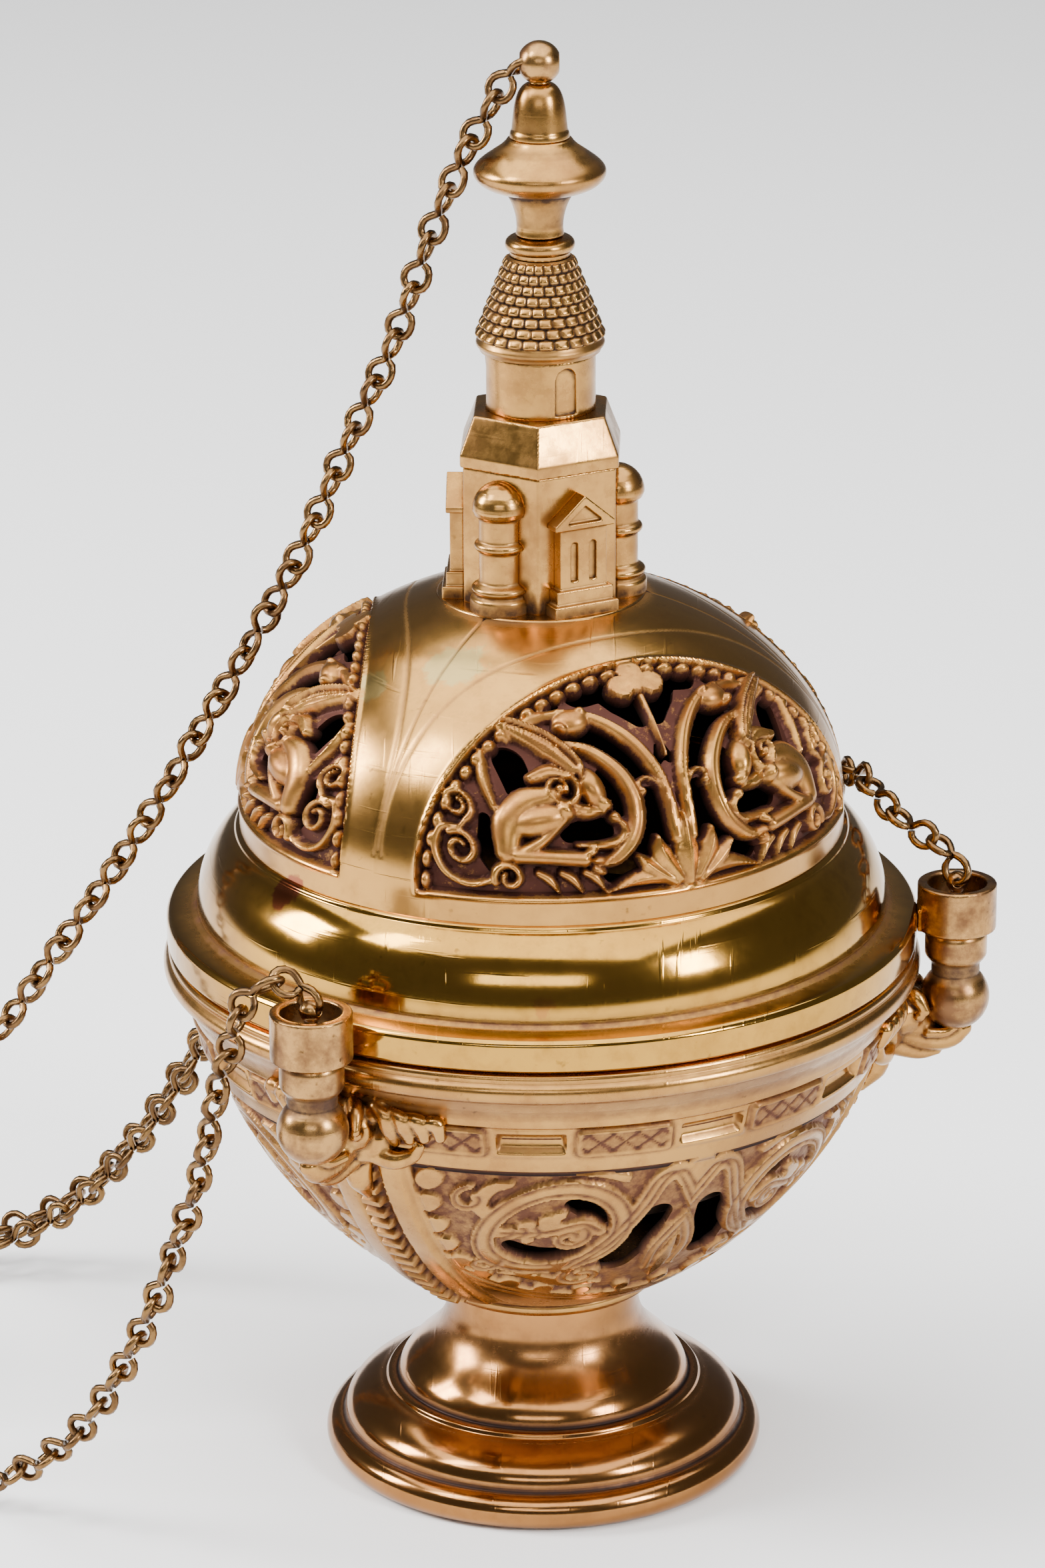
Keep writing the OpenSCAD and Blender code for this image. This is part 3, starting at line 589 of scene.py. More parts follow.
def cast_shell(name, profile, turn, s, height, opening, wall, material, body, stands_for, grime):
    """A wall on a grid of turns (radians) and distances s, left out where opening is above 0."""
    rows, cols = turn.shape
    nearly_round = 6.2
    closed = turn[0, -1] - turn[0, 0] > nearly_round
    f = np.array(opening, float)
    left, right = (f, np.roll(f, -1, 1)) if closed else (f[:, :-1], f[:, 1:])
    keep = (left[:-1] + left[1:] + right[:-1] + right[1:]) / 4 < 0
    move_row, move_col = slide_to_edge(f, keep, closed)
    s, turn = (np.clip(s + move_row * (s[1, 0] - s[0, 0]), s.min(), s.max()),
               turn + move_col * (turn[0, 1] - turn[0, 0]))
    radius, high = profile.at(s)
    nr, nz = profile.normal_at(s)
    sheets = []
    for lift in (height, np.full_like(height, -wall)):
        r = radius + nr * lift
        sheets.append(np.stack([r * np.cos(turn), r * np.sin(turn), high + nz * lift], 2).reshape(-1, 3))
    points = np.vstack(sheets)
    count = rows * cols
    j, i = np.nonzero(keep)
    m = (i + 1) % cols
    outer = np.stack([j * cols + i, j * cols + m, (j + 1) * cols + m, (j + 1) * cols + i], 1)
    # An edge with a face on one side only gets a wall down to the inner sheet
    ab = np.concatenate([outer[:, [k, (k + 1) % 4]] for k in range(4)]).astype(np.int64)
    rim = ab[~np.isin(ab[:, 0] * count + ab[:, 1], ab[:, 1] * count + ab[:, 0])]
    walls = np.stack([rim[:, 1], rim[:, 0], rim[:, 0] + count, rim[:, 1] + count], 1)
    faces = np.vstack([outer, outer[:, ::-1] + count, walls])
    # The inner sheet gets full darkness: painted shade inside the shell
    dirt_and_shade = np.concatenate([grime.reshape(-1), np.ones(count)])
    used, faces = np.unique(faces, return_inverse=True)
    faces = faces.reshape(-1, 4)
    return solid(name, points[used], faces, material, body, stands_for, dirt_and_shade[used], sharp=50)


# ---- The dome's pierced panels --------------------------------------------------------------

WINDOW_X = 31.6
WINDOW_Z = 120.2
WINDOW_LEAN = math.tan(math.radians(6))
SEAT_R = 17.4
SHELL_WALL = 2.2
GRILLE_WALL = 2.6
GRILLE_HALF_TURN = 54
GRILLE_TOP = 43.5
GROUND = 1.5


def dome_profile():
    a = np.linspace(0, math.pi / 2, 400)
    r, z = -1.3 + 52.4 * np.cos(a), 119.9 + 39.1 * np.sin(a)
    keep = r > SEAT_R
    points = [(51.1, 116.1), (51.1, 118)] + np.stack([r[keep], z[keep]], 1).tolist()
    return Profile(points, WINDOW_Z)


DOME = dome_profile()


def inside_window(x, radius, high):
    """Above 0 inside the panel's window, which a leaning plane cuts out of the dome."""
    return radius * np.cos(x / radius) - (WINDOW_X - (high - WINDOW_Z) * WINDOW_LEAN)


def arch_path():
    """The left half of the panel's arched outline, from the band up to the middle."""
    path = []
    for a in np.radians(np.arange(0, 91, 1.5)):
        reach = np.linspace(25, 56, 300)
        x, y = -reach * math.cos(a), reach * math.sin(a)
        f = inside_window(x, *DOME.at(y))
        k = int(np.argmax(f < 0))
        t = f[k - 1] / (f[k - 1] - f[k])
        path.append((x[k - 1] + (x[k] - x[k - 1]) * t, y[k - 1] + (y[k] - y[k - 1]) * t))
    return np.array(path)


ARCH = arch_path()


def arch_distance(relief):
    """How far inside the arch each point of the sheet lies."""
    best = np.full(relief.x.shape, 99.0)
    line = np.vstack([ARCH, ARCH[-1] * (-1, 1) + (1, 0)])
    for (x0, y0), (x1, y1) in zip(line[:-1], line[1:]):
        dx, dy = x1 - x0, y1 - y0
        t = np.clip(((relief.x - x0) * dx + (relief.y - y0) * dy) / max(dx * dx + dy * dy, 1e-9), 0, 1)
        best = np.minimum(best, np.hypot(relief.x - x0 - t * dx, relief.y - y0 - t * dy))
    return np.where(inside_window(relief.x, *DOME.at(relief.y)) > 0, best, -best)


def draw_beads(relief, inset, spacing, rx, ry, height):
    """Oval beads along the arch, at one distance inside it."""
    path = ARCH + inset * unit_rows(np.gradient(ARCH, axis=0))[:, ::-1] * (1, -1)
    path = path[path[:, 1] > 1.6]
    run = run_along(path)

    def on_path(at):
        return np.interp(at, run, path[:, 0]), np.interp(at, run, path[:, 1])

    count = int(round(run[-1] / spacing))
    for k in range(count + 1):
        at = k * run[-1] / count
        far, near = on_path(at + 0.5), on_path(at - 0.5)
        turn = math.degrees(math.atan2(far[1] - near[1], far[0] - near[0]))
        relief.blob(on_path(at), rx, ry, turn, height)


def draw_dome_gaps(d):
    d.gap([(-10.5, 36.2), (-6, 37.6), (-3.5, 34.2), (-1.6, 30.5)], [2.4, 3.4, 3.0, 1.8])
    d.gap([(-13.5, 27.4), (-8.4, 25.6), (-5, 21.6)], [2.2, 4.2, 2.8])
    d.gap([(-4.6, 15.5), (-5.2, 10.5), (-8.6, 5.6), (-12.4, 4.4)], [2.6, 3.6, 3.8, 2.4])
    d.gap([(-26.4, 23.4), (-25.8, 18.8)], [2.8, 2.6])
    d.gap([(-19.5, 11.2), (-14.5, 11.4)], [1.6, 2.6])
    d.gap([(-11.2, 20.4), (-11.0, 15.4)], [1.8, 2.2])
    d.gap([(-33.2, 13.6), (-33.8, 8.2), (-32.4, 4.8)], [1.0, 1.6, 1.2])
    d.gap([(-20.6, 32.6), (-15.5, 35.0)], [0.8, 1.6])
    d.gap([(-2.4, 20.5), (0.8, 25)], [0.3, 1.7])


def draw_stalks(d):
    """Stalks that rise from the leaf and curl over into bud heads, a trefoil, and a great C scroll."""
    d.stroke([(-1.3, 9), (-1.6, 15), (-2.6, 21), (-5.6, 27), (-10, 31), (-15, 32.2)],
             [1.5, 1.35, 1.4, 1.5, 1.4, 1.1], 1.9, 3)
    d.stroke([(-15, 32.2), (-20, 31.2), (-25.6, 27.6)], [1.1, 1.2, 0.9], 1.5, 2)
    d.blob((-13.6, 30.6), 3.7, 2.3, 22, 2.5)
    d.blob((-15.9, 29.0), 1.5, 1.2, 0, 2.7)
    d.blob((-11.6, 32.0), 1.3, 1.0, 0, 2.6)
    d.stroke([(0, 23), (0, 34)], [0.35, 0.75], 1.6)
    for x, y in ((0, 39), (-2.75, 36.2)):
        d.blob((x, y), 2.55, 2.45, 0, 1.9, flat=True)
    d.blob((0, 36.8), 2.2, 2.4, 0, 1.9, flat=True)
    d.stroke([(-2.2, 17.2), (-4.2, 19.2), (-6.0, 18.9), (-6.2, 17.3)], [0.5, 0.55, 0.5, 0.45], 1.6)
    d.blob((-5.9, 17.2), 0.8, 0.8, 0, 2.0)
    scroll = [(-17.6, 26.4), (-12.8, 25.0), (-8.9, 20.8), (-7.5, 15.6), (-8.8, 10.4), (-12.4, 6.8),
              (-16, 6.0)]
    d.stroke(scroll, [0.9, 1.5, 1.7, 1.75, 1.7, 1.4, 0.8], 2.1, 3)
    d.stroke([(-11.4, 13.2), (-10.2, 11.6), (-11.2, 9.6), (-14.4, 8.9), (-18.6, 9.2)],
             [0.8, 0.95, 0.95, 0.9, 0.6], 1.9, 2)
    d.blob((-11.6, 13.4), 1.15, 1.1, 0, 2.3)


def draw_beast(d):
    """Wing, shoulder spiral, head, body, haunch, leg and claws."""
    d.stroke([(-28.4, 30.0), (-23.6, 28.6), (-19.2, 25.8), (-16.2, 21.6)], [0.4, 1.7, 2.5, 1.5], 2.7, 5)
    d.stroke([(-28.4, 30.4), (-23.2, 29.9), (-18.2, 27.2), (-15.2, 22.8), (-15.6, 20.2)],
             [0.35, 0.75, 0.8, 0.75, 0.5], 3.2)
    d.stroke(spiral((-19.4, 18.4), 3.1, 0.9, 40, -430, 24), [0.75, 0.6, 0.5], 2.7)
    d.blob((-19.4, 18.4), 1.0, 1.0, 0, 3.0)
    d.stroke([(-23.5, 20.4), (-20, 21.4), (-17, 20.4)], [1.2, 1.9, 1.2], 2.0, 3)
    d.blob((-14.2, 18.6), 2.3, 3.7, 8, 2.9)
    d.blob((-13.0, 15.8), 1.7, 1.4, -30, 2.6)
    d.blob((-15.6, 21.2), 1.0, 1.5, 20, 2.9)
    d.stroke([(-20.5, 16.4), (-16.6, 14.8), (-13.2, 14.8)], [1.7, 1.5, 0.9], 1.9, 3)
    d.stroke([(-21, 17.4), (-25.4, 16.2), (-29.2, 12.6), (-30.2, 8.2)], [1.9, 2.7, 2.9, 2.2], 2.4)
    d.blob((-23.8, 13.4), 5.7, 2.7, 16, 3.3)
    d.blob((-19.4, 14.9), 1.6, 1.9, 16, 3.4)
    d.stroke([(-20.0, 13.6), (-23.6, 10.4), (-27.4, 8.0)], [1.0, 1.0, 1.4], 2.4)
    d.stroke([(-28.6, 7.6), (-23.5, 7.4), (-17.8, 6.9)], [1.5, 1.4, 1.5], 2.7)
    for x, y, turn in ((-16.6, 8.0, 20), (-15.4, 6.6, 0), (-15.6, 5.0, -25)):
        d.blob((x, y), 1.6, 0.85, turn, 2.8)


def draw_tails(d):
    """Tail scrolls towards the corner, then waves and a leaf along the base."""
    d.stroke(spiral((-37.2, 15.6), 2.7, 0.9, -60, 480, 24), [0.75, 0.6, 0.55], 2.0)
    tail = [(-36.0, 13.3), (-37.6, 11.8), (-40.6, 11.6), (-42.4, 8.2), (-41.0, 4.4), (-37.2, 2.6),
            (-33.4, 3.2)]
    d.stroke(tail, [0.6, 0.6, 0.75, 0.85, 0.8, 0.75, 0.7], 1.9)
    d.stroke(spiral((-38.0, 8.4), 2.9, 1.0, 120, -440, 24), [0.8, 0.7, 0.6], 2.0)
    d.stroke(spiral((-30.2, 4.0), 2.5, 0.8, 200, -420, 20), [0.9, 0.75, 0.6], 2.3)
    d.stroke([(-30.6, 24.6), (-31.6, 20), (-31.0, 15.4)], [0.9, 1.3, 0.9], 1.8, 2)
    for x in (-24.6, -20.8, -17.0):
        d.stroke([(x - 0.8, 4.7), (x + 0.9, 3.6), (x + 2.4, 1.4)], [0.8, 1.0, 0.3], 1.9)
    d.stroke([(-2.0, 2.2), (-8, 2.9), (-14.4, 1.2)], [1.4, 1.5, 0.3], 1.8, 2)
    d.stroke([(0, 1.4), (0, 6.6), (0, 12.8)], [1.4, 2.4, 0.3], 2.4, 2)
    d.stroke([(-1.6, 2), (-4.4, 6.2), (-5.0, 9.4)], [1.2, 2.0, 0.5], 2.1, 2)
    d.stroke([(-2.4, 1.4), (-6.4, 4.2), (-8.6, 6.6)], [1.1, 1.7, 0.5], 2.0, 2)
    d.stroke([(-44, 0.5), (0, 0.5)], [0.5, 0.5], 1.1)


def draw_dome_panel():
    """The sheet with its heights, openings, distance to the border, and dirt with painted shade in its low
    places.
    """
    d = Relief(56, -5, 51)
    arch = arch_distance(d)
    border = np.minimum(arch, d.y)
    draw_beads(d, 1.8, 3.7, 1.75, 0.95, 2.0)
    draw_dome_gaps(d)
    draw_stalks(d)
    draw_beast(d)
    draw_tails(d)
    inside = rise(border - 0.35, 0.4)
    rim = 0.3 * hump(border - 0.1, 0.35)
    engraved = hump(arch + 6.2, 0.22) * (d.y > 5)
    total = inside * (d.high - GROUND) + rim - 0.07 * engraved
    low = blurred(total, 14) - total
    # Low places and the sunk ground get dirt and painted shade; engraved lines get dirt
    dirt_and_shade = inside * np.clip(0.8 * np.clip(low, 0, 2) + 0.42 * (total < -0.85) + 0.14, 0, 1)
    dirt_and_shade = np.maximum(blurred(dirt_and_shade, 2), 0.5 * engraved)
    return d, total, np.minimum(d.opening(), border - 1.1), border, dirt_and_shade


def near_panel(turn, radius):
    """Distance along the surface from the nearest panel's middle, and that panel's angle."""
    best = np.full(turn.shape, 9.0)
    for c in PANELS.values():
        off = (turn - math.radians(c) + math.pi) % (2 * math.pi) - math.pi
        best = np.where(np.abs(off) < np.abs(best), off, best)
    return best * radius, best


def make_dome():
    sheet, total, opening, border, dirt_and_shade = draw_dome_panel()
    turn, s = shell_grid(DOME, step=0.34, columns=900)
    radius, _ = DOME.at(s)
    x, off = near_panel(turn, radius)
    seam = hump((math.radians(60) - np.abs(off)) * radius, 0.25) * (s > 6)
    height = sheet.read(total, x, s) - 0.06 * seam
    # A darker ring where the tower stands on the dome, stronger three times round
    tower_foot_darkening = 0.8 * hump(s - DOME.run[-1], 1.2) * (0.5 + 0.5 * np.sin(turn * 3 + 1))
    grime = np.clip(sheet.read(dirt_and_shade, x, s) + tower_foot_darkening + 0.5 * seam, 0, 1)
    depth = sheet.read(border, x, s)
    cast_shell("dome_shell", DOME, turn, s, height, depth, SHELL_WALL, SATIN, "lid", (), grime)
    for name, centre in PANELS.items():
        columns = np.radians(centre + np.linspace(-GRILLE_HALF_TURN, GRILLE_HALF_TURN, 300))
        turn, s = np.meshgrid(columns, np.arange(0, GRILLE_TOP, 0.3))
        radius, _ = DOME.at(s)
        x = (turn - math.radians(centre)) * radius
        height, grime = sheet.read(total, x, s), sheet.read(dirt_and_shade, x, s)
        cut = np.maximum(sheet.read(opening, x, s), -sheet.read(border, x, s) + 0.02)
        cast_shell("openwork_" + name, DOME, turn, s, height, cut, GRILLE_WALL, RELIEF, "lid",
                   ("grille_" + name,), grime)


make_dome()


# ---- The bowl's strap work ---------------------------------------------------------------------

STRAP_HALF = 8.3
PANEL_LOW = -42.0
BAND_HIGH = 0.95
RING = (-22.6, -16.8)
ARCADE = [(-16.8, -27.6), (-12.6, -20.4), (-9.0, -11.4), (-6.8, -5.0), (-3.8, -3.6), (-1.4, -6.8)]
TABLET_MID = 5.9


def bowl_profile():
    belly = [p for p in arc((-12.2, 98.8), 72.4, -58.4, -20, 90) if p[0] > 21.6]
    return Profile([(21.2, 34.9)] + belly + [(56.8, 74.9), (57.4, 76.6), (57.6, 77.2), (59.5, 84)], 75.6)


BELLY = bowl_profile()


def draw_bands(b):
    """Discs, the ring, the bands that cross into the middle arcade, and curls and leaves."""

    def band(points, widths):
        b.stroke(points, widths, BAND_HIGH, flat=True)

    discs = [(-46.2, -4.4), (-45.4, -10.4), (-42.8, -16.4), (-39.4, -22), (-35.4, -27.2), (-30.4, -31.6),
             (-24.4, -35.0), (-17.8, -37.4), (-10.8, -38.8), (-3.6, -39.4)]
    for k, centre in enumerate(discs):
        b.blob(centre, 2.75, 2.75 - 0.12 * k, -20 - 6 * k, BAND_HIGH, flat=True)
    band(arc(RING, 11.4, -62, 298, 18), [2.3])
    band(ARCADE, [1.9, 2.0, 2.0, 2.1, 2.2, 1.9])
    band([(-1.4, -6.8), (1.6, -12.6), (4.6, -19.6), (5.0, -26.4), (2.4, -32.4)], [2.0])
    band([(2.6, -12.8), (-0.8, -18), (-2.8, -24.6), (-2.4, -31)], [1.7, 1.7, 1.7, 1.4])
    band([(-33.4, -13.4), (-36.6, -9.6), (-35.4, -5.4), (-32.4, -4.2)], [1.3, 1.7, 1.6, 1.0])
    band(spiral((-38.4, -8.2), 3.2, 1.2, 100, 300, 14), [1.0, 1.3])
    band(spiral((-19.4, -18.2), 3.2, 0.8, 60, -430, 22), [1.1, 1.2, 1.3])
    band([(-32, -16.8), (-27.6, -16.6), (-23.6, -16.2), (-18.4, -14.4), (-14.8, -16.6)],
         [1.6, 1.9, 1.7, 1.6, 1.4])
    for x, y, r in ((-24.0, -13.4, 2.2), (-27.5, -14.6, 1.7), (-22.6, -11.8, 1.4), (-26.4, -18.6, 1.4)):
        b.blob((x, y), r, r, 0, BAND_HIGH, flat=True)
    band(spiral((-13.6, -31.4), 3.6, 1.2, 150, 330, 14), [1.2, 1.3])
    band(spiral((-31.4, -27.0), 3.0, 1.1, 40, -300, 14), [1.1, 1.2])
    band([(-28, -30.2), (-21, -31.8), (-15.8, -34.4), (-9, -35.2)], [0.5, 1.5, 1.6, 0.5])
    band([(0, -2.2), (0, -6.4)], [2.6, 1.2])
    band([(0, -20.5), (0, -30), (0, -35.6)], [0.4, 1.9, 0.6])
    band([(-13.2, -3.6), (-17, -2.4), (-22, -2.0)], [1.2, 0.9, 0.3])
    b.stroke([(-44, -31.5), (-33, -36), (-22, -40)], [0.2, 0.2], 0.5, flat=True)


def draw_bowl_gaps(b):
    b.gap([(-21.0, -9.8), (-17.6, -11.0), (-14.4, -13.2)], [1.4, 2.6, 2.0])
    b.gap([(-29.0, -21.0), (-25.4, -23.6), (-20.6, -24.2), (-16.2, -22.8)], [1.2, 2.2, 2.2, 1.4])
    b.gap([(-8.6, -28.6), (-7.4, -22.0), (-5.0, -14.6)], [3.2, 4.2, 2.6])
    b.gap([(-1.0, -22.4), (1.2, -26.8)], [0.8, 0.8])


def draw_bowl_lines(b):
    """Engraved lines along the ring, the bands and the curls."""
    for r in (10.3, 12.6):
        b.line(arc(RING, r, -58, 282, 17))
    down = [(-1.4, -6.8), (1.6, -12.6), (4.6, -19.6), (5.0, -26.4), (2.6, -32)]
    back = [(2.0, -13.6), (-0.8, -18), (-2.8, -24.6), (-2.4, -31)]
    for off in (-0.8, 0.8):
        for middle in (ARCADE, down, back):
            b.line([(x + off, y) for x, y in middle])
    b.line(spiral((-19.4, -18.2), 3.2, 1.0, 60, -400, 22))
    b.line([(-31, -16.8), (-27.6, -16.6), (-23.6, -16.2), (-18.4, -14.4), (-15, -16.4)])
    for x in (-30.6, -28.4, -26.2):
        b.line(spiral((x, -16.6), 1.3, 1.3, -80, 160, 6))
    b.line(spiral((-38.4, -8.2), 3.2, 1.4, 110, 280, 14))
    b.line(spiral((-13.6, -31.4), 3.6, 1.4, 160, 310, 14))
    b.line(spiral((-31.4, -27.0), 3.0, 1.2, 40, -280, 14))


def draw_bowl_panel():
    """The sheet with its heights, openings, and dirt with painted shade in its low places."""
    b = Relief(64, -54, 12)
    radius, _ = BELLY.at(b.y)
    from_strap = (math.pi / 3 - np.abs(b.x) / radius) * radius
    low_edge = b.y - PANEL_LOW - 0.011 * b.x**2
    border = np.minimum(np.minimum(from_strap - STRAP_HALF, -b.y - 0.2), low_edge)
    draw_bands(b)
    draw_bowl_gaps(b)
    draw_bowl_lines(b)
    inside = rise(border, 0.35)
    panel = inside * (b.high - BAND_HIGH) - b.cut * (b.high > 0.5)
    # Strap: a groove on each side of the notched bar, a rounded band, then a step to the panel
    u = np.clip(from_strap, 0, None)
    band = rise(u - 2.6, 0.5) * rise(7.4 - u, 0.6) * (0.86 + 0.14 * np.cos((u - 5) / 2.4 * math.pi / 2))
    notch = 0.5 + 0.5 * np.tanh(6 * (np.sin(b.y * 2 * math.pi / 2.9) + 0.25))
    bar = (0.35 + 1.5 * notch) * rise(2.2 - u, 0.35) * rise(0.5 - b.y, 0.6)
    fade = rise(b.y + 50, 3) * rise(-1.2 - b.y, 0.8)
    strap = (np.maximum(band, bar) - 0.25 * (np.abs(u - 2.4) < 0.35)) * fade
    seam = -0.22 * hump(u - 8.5, 0.25) * fade
    turned = -0.25 * hump(low_edge + 1.4, 0.3) - 0.2 * hump(low_edge + 3.4, 0.3)
    total = panel + strap + seam + turned * (u > 8.8)
    low = blurred(total, 12) - total
    # Low places and the bare panel ground get dirt and painted shade, the engraved cuts dirt, the notches'
    # grooves painted shade and dirt
    dirt_and_shade = np.clip(1.3 * np.clip(low, 0, 1) + 0.5 * (inside > 0.5) * (b.high < 0.4) + 1.6 * b.cut, 0, 1)
    dirt_and_shade = np.maximum(dirt_and_shade, 0.9 * (u < 2.2) * (1 - notch) * fade)
    return b, total, np.minimum(b.opening(), border - 0.8), blurred(dirt_and_shade, 2)


def repeating(x, period):
    """x measured from the middle of the nearest period."""
    return (x + period / 2) % period - period / 2


def tablets(turn, s):
    """Height, and dirt with painted shade, of the band of cross-hatched tablets and the polished bars
    between them.
    """
    half_wide, half_high, corner = 8.2, 2.9, 1.3
    bar_wide, bar_high = 5.6, 1.9
    pitch = math.radians(30)
    v = s - TABLET_MID
    radius, _ = BELLY.at(s)
    t = repeating(turn - math.radians(15), pitch) * radius
    dx, dy = np.abs(t) - (half_wide - corner), np.abs(v) - (half_high - corner)
    inside = corner - np.hypot(np.maximum(dx, 0), np.maximum(dy, 0))
    inside = np.where((dx < 0) & (dy < 0), np.minimum(corner - dx, corner - dy), inside)
    field = rise(inside - 0.75, 0.3)
    cell = 4.1
    cross = np.minimum(np.abs(repeating(t + v * 1.25, cell)), np.abs(repeating(t - v * 1.25, cell)))
    height = 0.75 * rise(inside, 0.4) - field * (0.22 + 0.2 * hump(cross, 0.32))
    from_bar = np.abs(v + 0.2)
    bx = np.abs(repeating(turn, pitch) * radius) - bar_wide
    outside = np.maximum(bx, from_bar - bar_high)
    bar = rise(-outside, 0.3)
    lip = hump(outside - 0.5, 0.4)
    height = height - bar * (1.5 - 0.9 * rise(from_bar, bar_high) ** 2) + 0.3 * lip * (bx < 1.2)
    zone = rise(s - 1.6, 0.3) * rise(10.2 - s, 0.3)
    # The hatching, the tablets' edges and the bars' edges get dirt and painted shade
    grime = 0.35 * field + 0.5 * field * hump(cross, 0.4) + 0.5 * hump(inside, 0.5)
    grime = grime + 0.35 * bar * (outside > -0.4)
    return height * zone, np.clip(grime, 0, 1) * zone


def make_bowl():
    sheet, total, opening, dirt_and_shade = draw_bowl_panel()
    turn, s = shell_grid(BELLY, step=0.36, columns=960)
    radius, _ = BELLY.at(s)
    x, _ = near_panel(turn, radius)
    band, band_dirt_and_shade = tablets(turn, s)
    height = sheet.read(total, x, s) * (s < 1.2) + band
    cut = np.where(s < 0, sheet.read(opening, x, s), -9)
    grime = np.maximum(sheet.read(dirt_and_shade, x, s) * (s < 1.2), band_dirt_and_shade)
    nodes = ("bowl_rib_right", "bowl_rib_rear", "bowl_rib_left")
    cast_shell("bowl_shell", BELLY, turn, s, height, cut, SHELL_WALL, BOWL, "base",
               nodes, grime)
    rim = ([(59.3, 83.8), (59.55, 84)] + curve((60, 84.4), (60.4, 86), (60.8, 87), (61.8, 88), 8)
           + [(62.9, 89.6)] + arc((62.5, 91.8), 2, -70, 60, 14)
           + [(63.7, 94.2), (63.4, 94.8), (62.3, 95.2), (60.8, 95.2), (60.8, 89.2), (57.4, 84), (55.6, 77),
              (55.6, 74), (53, 74), (53, 73), (56, 76), (57.6, 83)])
    lathe("bowl_rim", rim, BOWL, "base", ("bowl",), 320, grime=0.8, soft=0.25)
    boss = ([(0, 32), (18.4, 32)] + arc((18.6, 33.4), 1.4, -90, 60, 8)
            + [(20.4, 34.6), (21.4, 35.0), (22, 37), (0, 37)])
    lathe("bowl_boss", boss, BOWL, "base", (), 160, grime=1.2, soft=0.2)


make_bowl()

# ---- Turned parts ----------------------------------------------------------------------------------


def make_flange():
    lid = ([(62.4, 95.3), (63.4, 95.5), (63.8, 96.0), (63.8, 100.2), (63.2, 100.95), (59.6, 101.3)]
           + [(58.7, 101.9)] + curve((58.6, 101.9), (58.8, 107.4), (55.4, 113.6), (52, 115.2), 28)
           + [(51.8, 115.8), (51.15, 116.15), (49, 116.2), (48.9, 114.5)]
           + curve((50.4, 113.2), (53.4, 111.4), (56.2, 107), (56.2, 101.6), 12)
           + [(57.6, 100.8), (57.6, 92.4), (60.2, 92.4), (60.2, 95.3)])
    lathe("lid_flange", lid, BRASS, "lid", ("lid_shell",), 360, grime=0.5, soft=0.35)
    seat = [(2.6, 154), (8, 154.6), (17.2, 153.8), (17.5, 156.3), (17.2, 156.7), (2.6, 156.6)]
    lathe("dome_cap", seat, TOWER, "lid", (), 160, grime=6, soft=0.2)


def make_foot():
    foot = ([(32.4, 0)] + arc((34.9, 3.1), 3.1, -90, 88, 22)
            + curve((34.6, 6.9), (34.4, 10.2), (30.4, 11.6), (27.4, 12.8), 20)
            + [(27.1, 13.6), (25.4, 13.6)] + curve((25.2, 14.4), (24, 19), (16.8, 20.5), (16.6, 28), 24)
            + [(16.6, 32), (3.2, 32), (3.2, 27), (13.2, 27)]
            + curve((14.2, 26), (14.6, 18.5), (22, 16), (23, 11.8), 12)
            + curve((24.6, 10.8), (29, 9.4), (31.6, 8), (31.8, 4), 12))
    lathe("turned_foot", foot, ROSE, "base", ("foot",), 320, grime=1.3, soft=0.35)


def make_pan():
    pan = [(0, 60), (43.2, 60), (44.4, 61), (49, 74.1), (55.1, 74.1), (55.1, 75.3), (47.8, 75.3),
           (43.2, 61.8), (42.4, 61.2), (0, 61.2)]
    lathe("charcoal_pan", pan, INNER, "fire_pan", ("fire_pan",), 128, grime=0.4)


def make_finial():
    collar = ([(2.6, 214), (4.9, 214)] + arc((4.5, 216), 1.25, -65, 75, 14) + [(4, 217.4), (2.6, 217.6)])
    lathe("collar_bead", collar, TOWER, "lid", ("spire_collar",), 128, grime=1.4, soft=0.25)
    knop = ([(2.6, 217.6), (4, 217.6)] + curve((3.9, 218.2), (3.6, 220), (4.3, 222.6), (5.3, 224.2), 14)
            + [(5.6, 224.7)] + curve((6.2, 225), (8.8, 225.4), (10.9, 226.6), (10.9, 228.2), 14)
            + curve((10.9, 228.2), (10.9, 229.6), (8.6, 230.8), (6.4, 232.4), 14)
            + [(5.6, 233.2), (5.2, 233.8), (0, 233.8), (0, 230), (2.6, 230)])
    lathe("mushroom_knop", knop, TOWER, "lid", ("spire_knop",), 160, grime=1.2, soft=0.4)
    bell = ([(0, 233.8), (4.95, 233.8), (4.85, 234.7)]
            + curve((4.6, 235.2), (4.3, 237.6), (4.3, 241.6), (2.3, 242.7), 18)
            + [(1.7, 242.9), (1.7, 243.4), (0, 243.4)])
    lathe("bell_cap", bell, TOWER, "lid", ("spire_bell",), 128)


def make_posts():
    for side, angle in STRAPS.items():
        x, y, _ = place(angle, 70.5)
        post = (arc((0, 84.4), 5.9, -90, 47, 30) + [(4.15, 89.2), (4.1, 90.6), (4.9, 91.5)]
                + [(5.3, 92.2), (5.3, 95.6), (4.9, 96.5), (1.2, 96.6), (1.1, 91), (0, 91)])
        lathe("ball_post_" + side, post, WORN, "base", ("post_" + side,), 96, (x, y), 1.3, 0.4)


make_flange()
make_foot()
make_pan()
make_finial()
make_posts()

# ---- Cast parts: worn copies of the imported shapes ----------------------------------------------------


HOLLOW_PASSES = 14
HOLLOW_GAIN = 3.2


